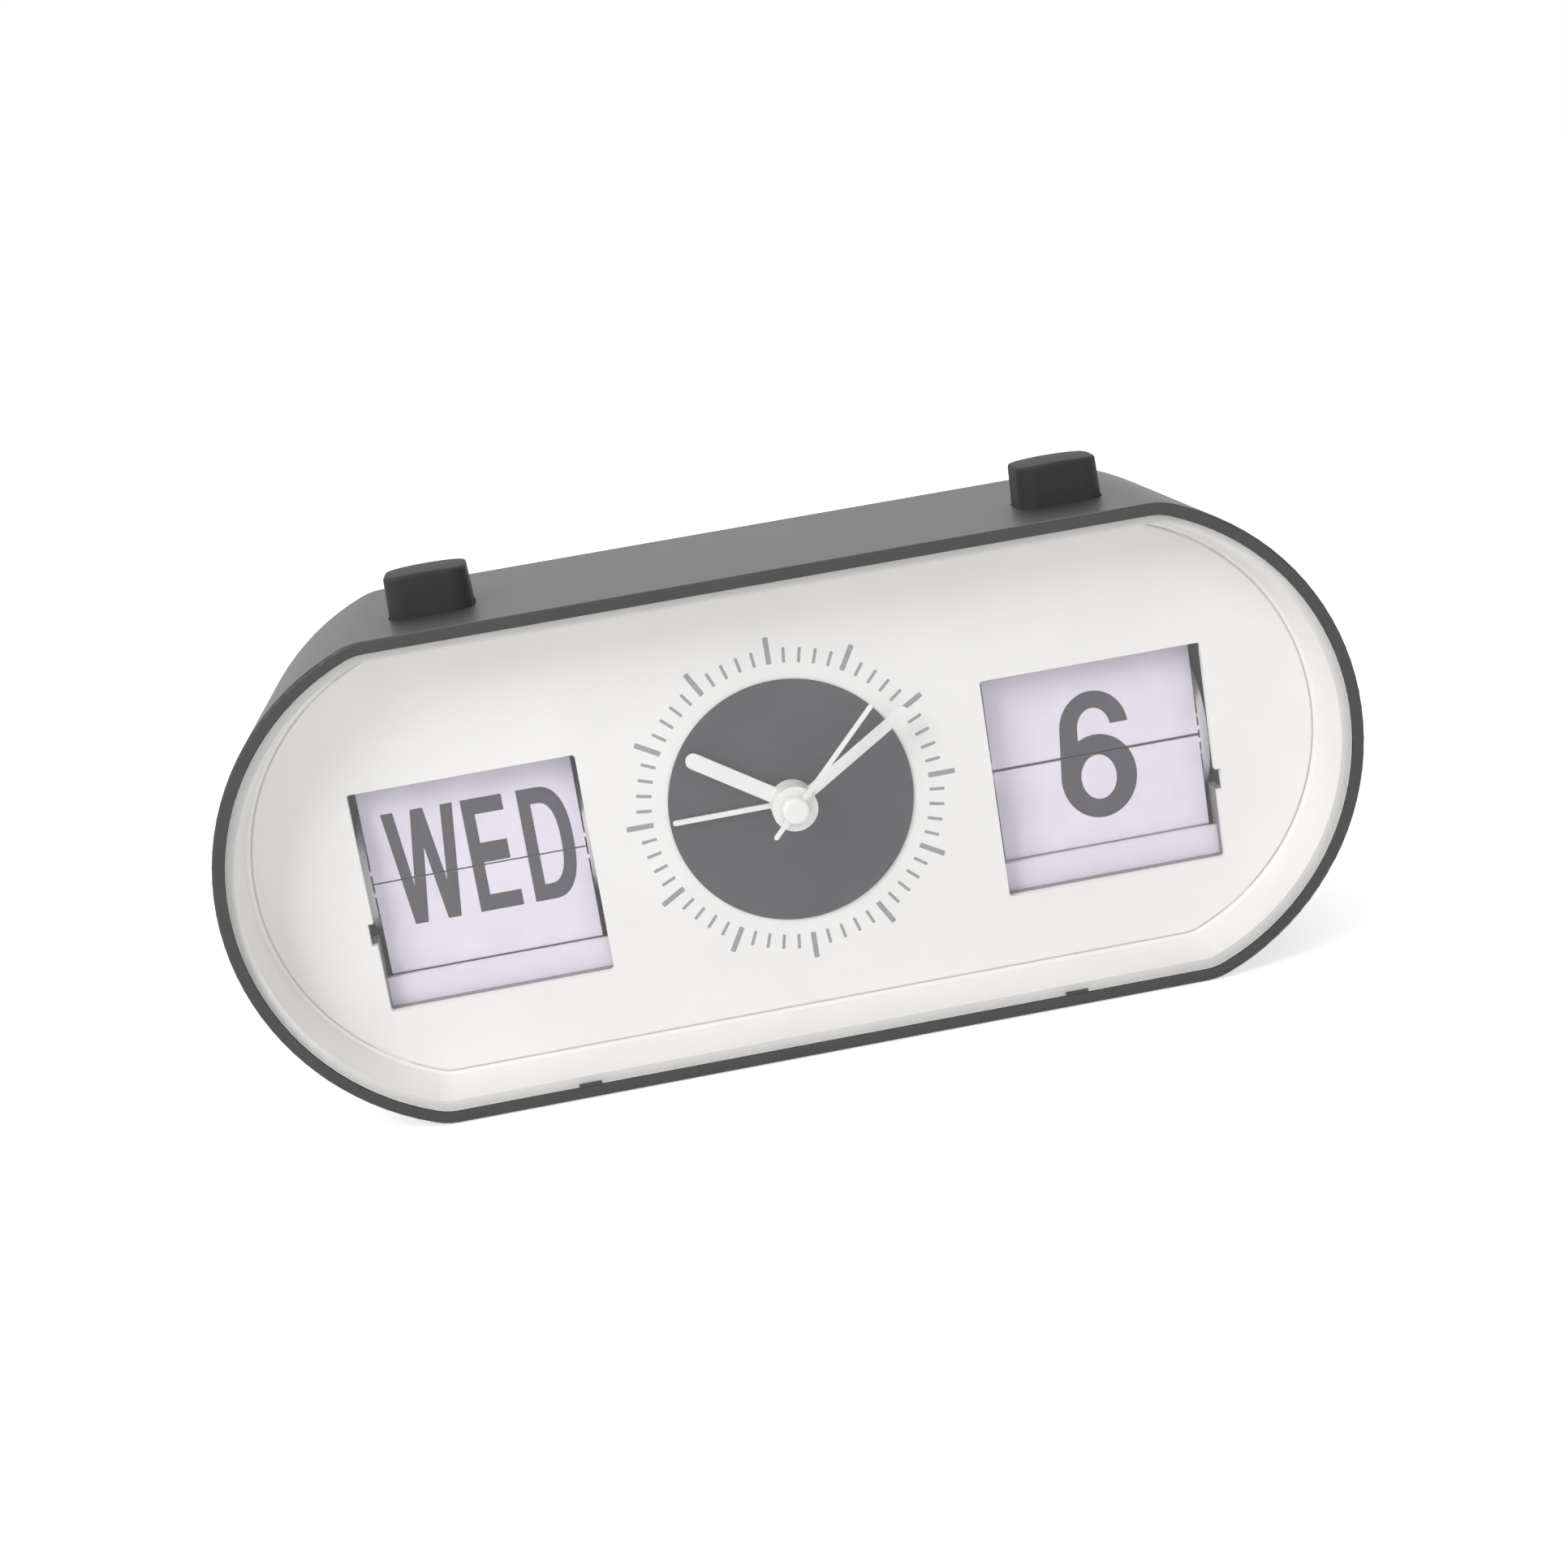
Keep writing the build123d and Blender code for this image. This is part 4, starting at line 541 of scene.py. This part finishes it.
def printed_word(letters, left, bottom, gaps, front, turned=0.0):
    """Letters side by side in one thin printed layer, facing the front or turned about."""
    shape = bpy.data.curves.new("print", "CURVE")
    shape.dimensions = "2D"
    shape.fill_mode = "BOTH"
    shape.extrude = INK / 2 * MM
    start = left
    for (width, outlines), gap in zip(letters, gaps):
        for outline in outlines:
            line = shape.splines.new("POLY")
            line.points.add(len(outline) - 1)
            line.use_cyclic_u = True
            for point, (x, z) in zip(line.points, outline):
                point.co = ((start + x) * MM, (bottom + z) * MM, 0, 1)
        start += width + gap
    word = bpy.data.objects.new("print", shape)
    bpy.context.scene.collection.objects.link(word)
    hold(word)
    bpy.ops.object.convert(target="MESH")
    word = bpy.context.object
    word.rotation_euler = (pi / 2, 0, turned)
    word.location = (0, (front - cos(turned) * INK / 2) * MM, 0)
    bpy.ops.object.transform_apply(location=True, rotation=True, scale=True)
    bpy.ops.object.mode_set(mode="EDIT")
    bpy.ops.mesh.select_all(action="SELECT")
    bpy.ops.mesh.remove_doubles(threshold=1e-7)
    bpy.ops.mesh.normals_make_consistent(inside=False)
    bpy.ops.object.mode_set(mode="OBJECT")
    return word


SPLIT_MARGIN = 0.13  # half the gap between upper and lower leaf
LEAF_HALF = {"day": 0.2, "date": 0.125}  # half of a sheet's thickness


def letter_leaves(unit, today, tomorrow):
    """Prints today's word over the two front leaves, and tomorrow's behind the upper one."""
    pins = {leaf: Vector(joints[unit + "_" + leaf + "_leaf_turn"]["pos_m"])
            for leaf in ("upper", "next", "lower")}
    split = (pins["upper"].z + pins["lower"].z) / 2
    upper_cut = split / MM + SPLIT_MARGIN
    lower_cut = split / MM - SPLIT_MARGIN
    to_next = Matrix.Translation(pins["next"] - pins["upper"])
    hinge = Matrix.Translation((0, pins["upper"].y, split))
    flipped = hinge @ Matrix.Rotation(pi, 4, "X") @ hinge.inverted()
    prints = (
        ("today_top", cut_at(copied(today), upper_cut, True), "upper"),
        ("today_bottom", cut_at(copied(today), lower_cut, False), "lower"),
        ("tomorrow_top", copied(cut_at(copied(tomorrow), upper_cut, True), to_next), "next"),
        ("tomorrow_bottom", copied(cut_at(copied(tomorrow), lower_cut, False), flipped), "upper"),
    )
    for name, word, leaf in prints:
        settle(word, unit + "_" + name, LETTER_INK)
        put(word, unit + "_" + leaf + "_leaf")


def flat_front(unit):
    """Front of the leaf's sheet, without its pins."""
    return joints[unit + "_upper_leaf_turn"]["pos_m"][1] / MM - LEAF_HALF[unit]


letter_leaves(
    "day",
    printed_word((letter_w(), letter_e(), letter_d()), left=-71.6, bottom=31.7, gaps=(1.4, 2.2, 0),
                 front=flat_front("day")),
    printed_word((letter_t(), letter_h(), letter_u()), left=-69.8, bottom=31.7, gaps=(1.6, 1.8, 0),
                 front=flat_front("day")))
letter_leaves(
    "date",
    printed_word((figure_six(),), left=49.2, bottom=28.1, gaps=(0,), front=flat_front("date")),
    printed_word((figure_seven(),), left=49.4, bottom=28.2, gaps=(0,), front=flat_front("date")))
for leftover in [piece for piece in bpy.data.objects if piece.name.startswith("print")]:
    bpy.data.objects.remove(leftover)


# Marks in the knob well, seen from behind

def capital_o():
    centre = (1.0, 1.2)
    return 2.0, [bow(centre, (1.0, 1.2), 0, 350, 2.4, 35), bow(centre, (0.62, 0.82), 0, 350, 2.4, 35)]


def capital_n():
    return 1.9, [[
        (0, 0), (0.38, 0), (0.38, 1.7), (1.5, 0), (1.9, 0), (1.9, 2.4), (1.52, 2.4), (1.52, 0.7),
        (0.4, 2.4), (0, 2.4)]]


def capital_f():
    return 1.5, [[
        (0, 0), (0.4, 0), (0.4, 0.95), (1.3, 0.95), (1.3, 1.3), (0.4, 1.3), (0.4, 2.05), (1.5, 2.05),
        (1.5, 2.4), (0, 2.4)]]


ARROW_HALF = 0.25  # half of the arrow's line
ARROW_BARB = 0.8
ARROW_TAIL, ARROW_NECK, ARROW_TIP = 196, 150, 136  # angles round the knob


def turning_arrow(radius):
    """An arrow bent round a knob, drawn about the knob's centre."""
    def ring(reach, start, stop):
        return bow((0, 0), (reach, reach), start, stop)

    def spot(reach, angle):
        return reach * cos(radians(angle)), reach * sin(radians(angle))

    outside = ring(radius + ARROW_HALF, ARROW_NECK, ARROW_TAIL)
    inside = ring(radius - ARROW_HALF, ARROW_TAIL, ARROW_NECK)
    barbs = [spot(radius - ARROW_BARB, ARROW_NECK), spot(radius, ARROW_TIP),
             spot(radius + ARROW_BARB, ARROW_NECK)]
    return 0, [outside + inside + barbs]


WELL_FLOOR = 24.8
SWITCH_X = 7.0
ON_HALF, ON_Z = 2.1, 50.6  # half width and foot of the word
OFF_HALF, OFF_Z = 2.9, 34.2
KNOB_ARROWS = {"time": 8.0, "alarm": 7.3}  # radius of each arrow
knob_marks = {
    "switch_on": ((capital_o(), capital_n()), -SWITCH_X - ON_HALF, ON_Z, (0.4, 0)),
    "switch_off": ((capital_o(), capital_f(), capital_f()), -SWITCH_X - OFF_HALF, OFF_Z, (0.4, 0.4, 0)),
}
for knob, radius in KNOB_ARROWS.items():
    centre = Vector(joints[knob + "_knob_turn"]["pos_m"]) / MM
    knob_marks[knob + "_knob_arrow"] = ((turning_arrow(radius),), -centre.x, centre.z, (0,))
for name, (letters, left, bottom, gaps) in knob_marks.items():
    mark = printed_word(letters, left, bottom, gaps, WELL_FLOOR, pi)
    put(settle(mark, name, MARK_INK), "case")


# Screws

def screw_blank(head_radius, head, radius, length, pitch):
    """A screw along Y with its seat at zero, its thread in front and a cross recess in its head."""
    alone()
    bpy.ops.mesh.primitive_cylinder_add(vertices=40, radius=head_radius * MM, depth=head * MM,
                                        location=(0, head / 2 * MM, 0), rotation=(pi / 2, 0, 0))
    screw = bpy.context.object
    bpy.ops.object.transform_apply(location=True, rotation=True, scale=True)
    pick(screw, "FACE", lambda face: face.normal.y > 0.9)
    bpy.ops.mesh.bevel(offset=0.22 * head * MM, segments=3)
    pick(screw, "FACE", lambda face: face.normal.y < -0.9)
    root = radius * 0.8
    bpy.ops.mesh.inset(thickness=(head_radius - root) * MM)
    half_turns = 2 * int(length / pitch)
    step = length / half_turns * MM
    for number in range(half_turns):
        last = number == half_turns - 1
        swell = radius / root if number % 2 == 0 else (0.5 if last else 1.0) * root / radius
        bpy.ops.mesh.extrude_region_move(TRANSFORM_OT_translate={"value": (0, -step, 0)})
        bpy.ops.transform.resize(value=(swell, 1, swell), center_override=(0, -(number + 1) * step, 0))
    bpy.ops.object.mode_set(mode="OBJECT")
    for turn in (0, pi / 2):
        alone()
        bpy.ops.mesh.primitive_cube_add(size=1, location=(0, head * MM, 0), rotation=(0, turn, 0))
        bar = bpy.context.object
        bar.scale = (1.15 * head_radius * MM, 1.3 * head * MM, 0.24 * head_radius * MM)
        bpy.ops.object.transform_apply(location=True, rotation=True, scale=True)
        cut_out(screw, bar)
    hold(screw)
    bpy.ops.object.shade_smooth_by_angle(angle=radians(35))
    return screw


def drive_screws(node, blank, seat, places):
    """Puts a copy of a screw at each place, every head stopped at another angle."""
    twins = []
    for number, (x, z) in enumerate(places):
        turn = Matrix.Rotation(radians(37 * number + 12), 4, "Y")
        twins.append(copied(blank, Matrix.Translation((x * MM, seat * MM, z * MM)) @ turn))
    bpy.data.objects.remove(blank)
    alone()
    for twin in twins:
        twin.select_set(True)
    bpy.context.view_layer.objects.active = twins[0]
    bpy.ops.object.join()
    piece = put(settle(twins[0], node + "_turned", FINISHES["bright_steel"]), "case")
    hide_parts(node)


COVER_X, COVER_HEIGHTS = 62.0, (6.2, 79.8)
MOVEMENT_X, MOVEMENT_RISE = 18.0, 31.2
UNIT_X = 56.1  # middle of a flip unit
UNIT_TABS = ((16.5, 64.5), (10.0, 6.8))  # from that middle, and how high
COVER_SEAT, FACE_SEAT = 28.8, -8.4
COVER_PLACES = [(side * COVER_X, z) for side in (-1, 1) for z in COVER_HEIGHTS]
FACE_PLACES = [(side * MOVEMENT_X, DIAL_Z + up * MOVEMENT_RISE) for side in (-1, 1) for up in (-1, 1)]
FACE_PLACES += [(unit * UNIT_X + side * x, z) for unit in (-1, 1) for side in (-1, 1)
                for x, z in UNIT_TABS]
cover_screw = screw_blank(head_radius=2.6, head=1.2, radius=1.3, length=9.0, pitch=1.0)
drive_screws("rear_cover_screws", cover_screw, COVER_SEAT, COVER_PLACES)
face_screw = screw_blank(head_radius=1.9, head=1.1, radius=0.9, length=4.5, pitch=0.75)
drive_screws("face_screws", face_screw, FACE_SEAT, FACE_PLACES)


# Springs under the keys

SPRING_WIRE = 0.25  # radius
SPRING_TURNS = 4


def coil_spring(low, high):
    """A round-wire spring that fills a box, its two ends closed."""
    wire = SPRING_WIRE * MM
    alone()
    bpy.ops.mesh.primitive_circle_add(vertices=12, radius=wire, rotation=(pi / 2, 0, 0),
                                      location=((high.x - low.x) / 2 - wire, 0, 0))
    spring = bpy.context.object
    bpy.ops.object.transform_apply(location=True, rotation=True, scale=True)
    wind = spring.modifiers.new("wind", "SCREW")
    wind.screw_offset = (high.z - low.z - 2 * wire) / SPRING_TURNS
    wind.iterations = SPRING_TURNS
    wind.steps = wind.render_steps = 36
    bpy.ops.object.modifier_apply(modifier=wind.name)
    bpy.ops.object.mode_set(mode="EDIT")
    bpy.ops.mesh.select_all(action="SELECT")
    bpy.ops.mesh.remove_doubles(threshold=1e-7)
    bpy.ops.mesh.fill_holes(sides=12)
    bpy.ops.mesh.select_all(action="SELECT")
    bpy.ops.mesh.normals_make_consistent(inside=False)
    bpy.ops.object.mode_set(mode="OBJECT")
    bpy.ops.object.shade_smooth_by_angle(angle=radians(40))
    return spring


wound = coil_spring(*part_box("day_button_spring"))
for unit in ("day", "date"):
    spring_node = unit + "_button_spring"
    low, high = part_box(spring_node)
    foot = Vector(((low.x + high.x) / 2, (low.y + high.y) / 2, low.z))
    spring = copied(wound, Matrix.Translation(foot + Vector((0, 0, SPRING_WIRE * MM))))
    put(settle(spring, spring_node + "_wound", FINISHES["bright_steel"]), "case")
    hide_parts(spring_node)
    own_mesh(spring)
bpy.data.objects.remove(wound)


# Minute marks printed round the dial

FACE_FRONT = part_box("dial_disc")[1].y / MM
TICK_INNER = 24.7
TICK_CORNER = 0.12


def dial_tick(name, inner, outer, width, first_turn):
    """One upright mark above the dial centre, turned to its first place."""
    alone()
    middle = ((inner + outer) / 2 + DIAL_Z) * MM
    bpy.ops.mesh.primitive_cube_add(size=1, location=(0, (FACE_FRONT - INK / 2) * MM, middle))
    tick = bpy.context.object
    tick.scale = (width * MM, INK * MM, (outer - inner) * MM)
    bpy.ops.object.transform_apply(location=True, rotation=True, scale=True)

    def upright(edge):
        ends = [tick.data.vertices[number].co for number in edge.vertices]
        return abs(ends[0].y - ends[1].y) > 0.5 * INK * MM

    pick(tick, "EDGE", upright)
    bpy.ops.mesh.bevel(offset=TICK_CORNER * MM, segments=2)
    bpy.ops.object.mode_set(mode="OBJECT")
    pivot = Matrix.Translation((0, 0, DIAL_Z * MM))
    tick.data.transform(pivot @ Matrix.Rotation(radians(first_turn), 4, "Y") @ pivot.inverted())
    tick.name = name
    return tick


def repeat_round(piece, steps, turn):
    """Copies a piece's mesh round the dial centre."""
    hold(piece)
    bpy.ops.object.mode_set(mode="EDIT")
    bpy.ops.mesh.select_all(action="SELECT")
    bpy.ops.mesh.spin(steps=steps, dupli=True, angle=radians(turn), center=(0, 0, DIAL_Z * MM),
                      axis=(0, 1, 0))
    bpy.ops.object.mode_set(mode="OBJECT")
    return piece


minute_tick = dial_tick("minute_marks", TICK_INNER, outer=27.4, width=0.54, first_turn=24)
minute_marks = repeat_round(repeat_round(minute_tick, 3, 18), 11, 330)
hour_tick = dial_tick("hour_marks", TICK_INNER, outer=29.5, width=0.93, first_turn=0)
hour_marks = repeat_round(hour_tick, 11, 330)
for marks in (minute_marks, hour_marks):
    put(settle(marks, marks.name, TICK_INK), "case")


# Studio

LAMP_AIM = Vector((0, 0, 0.04))


def softbox(name, power, size, place):
    lamp = bpy.data.lights.new(name, "AREA")
    lamp.shape = "RECTANGLE"
    lamp.size, lamp.size_y = size
    lamp.energy = power
    box = bpy.data.objects.new(name, lamp)
    box.location = place
    box.rotation_euler = (LAMP_AIM - Vector(place)).to_track_quat("-Z", "Y").to_euler()
    bpy.context.scene.collection.objects.link(box)


def studio_floor():
    alone()
    bpy.ops.mesh.primitive_plane_add(size=8, location=(0, 0, -0.0002))
    floor = bpy.context.object
    floor.name = "floor"
    finish = Finish("pale_floor")
    finish.surface(Base_Color=srgb(236, 236, 236), Roughness=0.9)
    glow = finish.node("ShaderNodeEmission", {}, {"Color": (1, 1, 1, 1), "Strength": 0.62})
    plain = Value(finish, finish.shader.outputs[0])
    lifted = finish.node("ShaderNodeAddShader", {}, {0: plain, 1: glow})
    shown = finish.node("ShaderNodeMixShader", {}, {0: finish.seen_directly(), 1: plain, 2: lifted})
    finish.feed(finish.tree.nodes["Material Output"].inputs["Surface"], shown)
    floor.data.materials.append(finish.material)


def studio_world():
    world = bpy.data.worlds.new("studio")
    bpy.context.scene.world = world
    world.use_nodes = True
    board = Board(world.node_tree)
    ambient = board.node("ShaderNodeBackground", {}, {"Color": (1, 1, 1, 1), "Strength": 0.46})
    white = board.node("ShaderNodeBackground", {}, {"Color": (1, 1, 1, 1), "Strength": 1.0})
    sky = board.node("ShaderNodeMixShader", {}, {0: board.seen_directly(), 1: ambient, 2: white})
    board.feed(world.node_tree.nodes["World Output"].inputs["Surface"], sky)


def photo_camera():
    """The camera where the photograph was taken from."""
    place = (-0.027846, -0.423524, 0.146799)
    yaw, pitch, roll = 0.066387, 0.242270, -0.163973
    focal_pixels, frame_pixels, sensor_mm = 2934.465, 1932, 36.0
    ahead = Vector((sin(yaw) * cos(pitch), cos(yaw) * cos(pitch), -sin(pitch)))
    level = Vector((cos(yaw), -sin(yaw), 0))
    up = level.cross(ahead)
    right = level * cos(roll) + up * sin(roll)
    top = up * cos(roll) - level * sin(roll)
    lens = bpy.data.cameras.new("camera")
    lens.sensor_width = sensor_mm
    lens.lens = sensor_mm * focal_pixels / frame_pixels
    lens.clip_start = 0.01
    camera = bpy.data.objects.new("camera", lens)
    turn = Matrix((right, top, -ahead)).transposed().to_4x4()
    camera.matrix_world = Matrix.Translation(place) @ turn
    bpy.context.scene.collection.objects.link(camera)
    bpy.context.scene.camera = camera


studio_floor()
studio_world()
photo_camera()
softbox("key", power=5.6, size=(0.5, 0.5), place=(-0.58, -0.56, 0.66))
softbox("front_fill", power=1.0, size=(0.8, 0.6), place=(0.45, -0.85, 0.30))
softbox("back_fill", power=2.0, size=(0.8, 0.6), place=(0.10, 0.50, 0.95))
bpy.context.scene.view_settings.view_transform = "Standard"
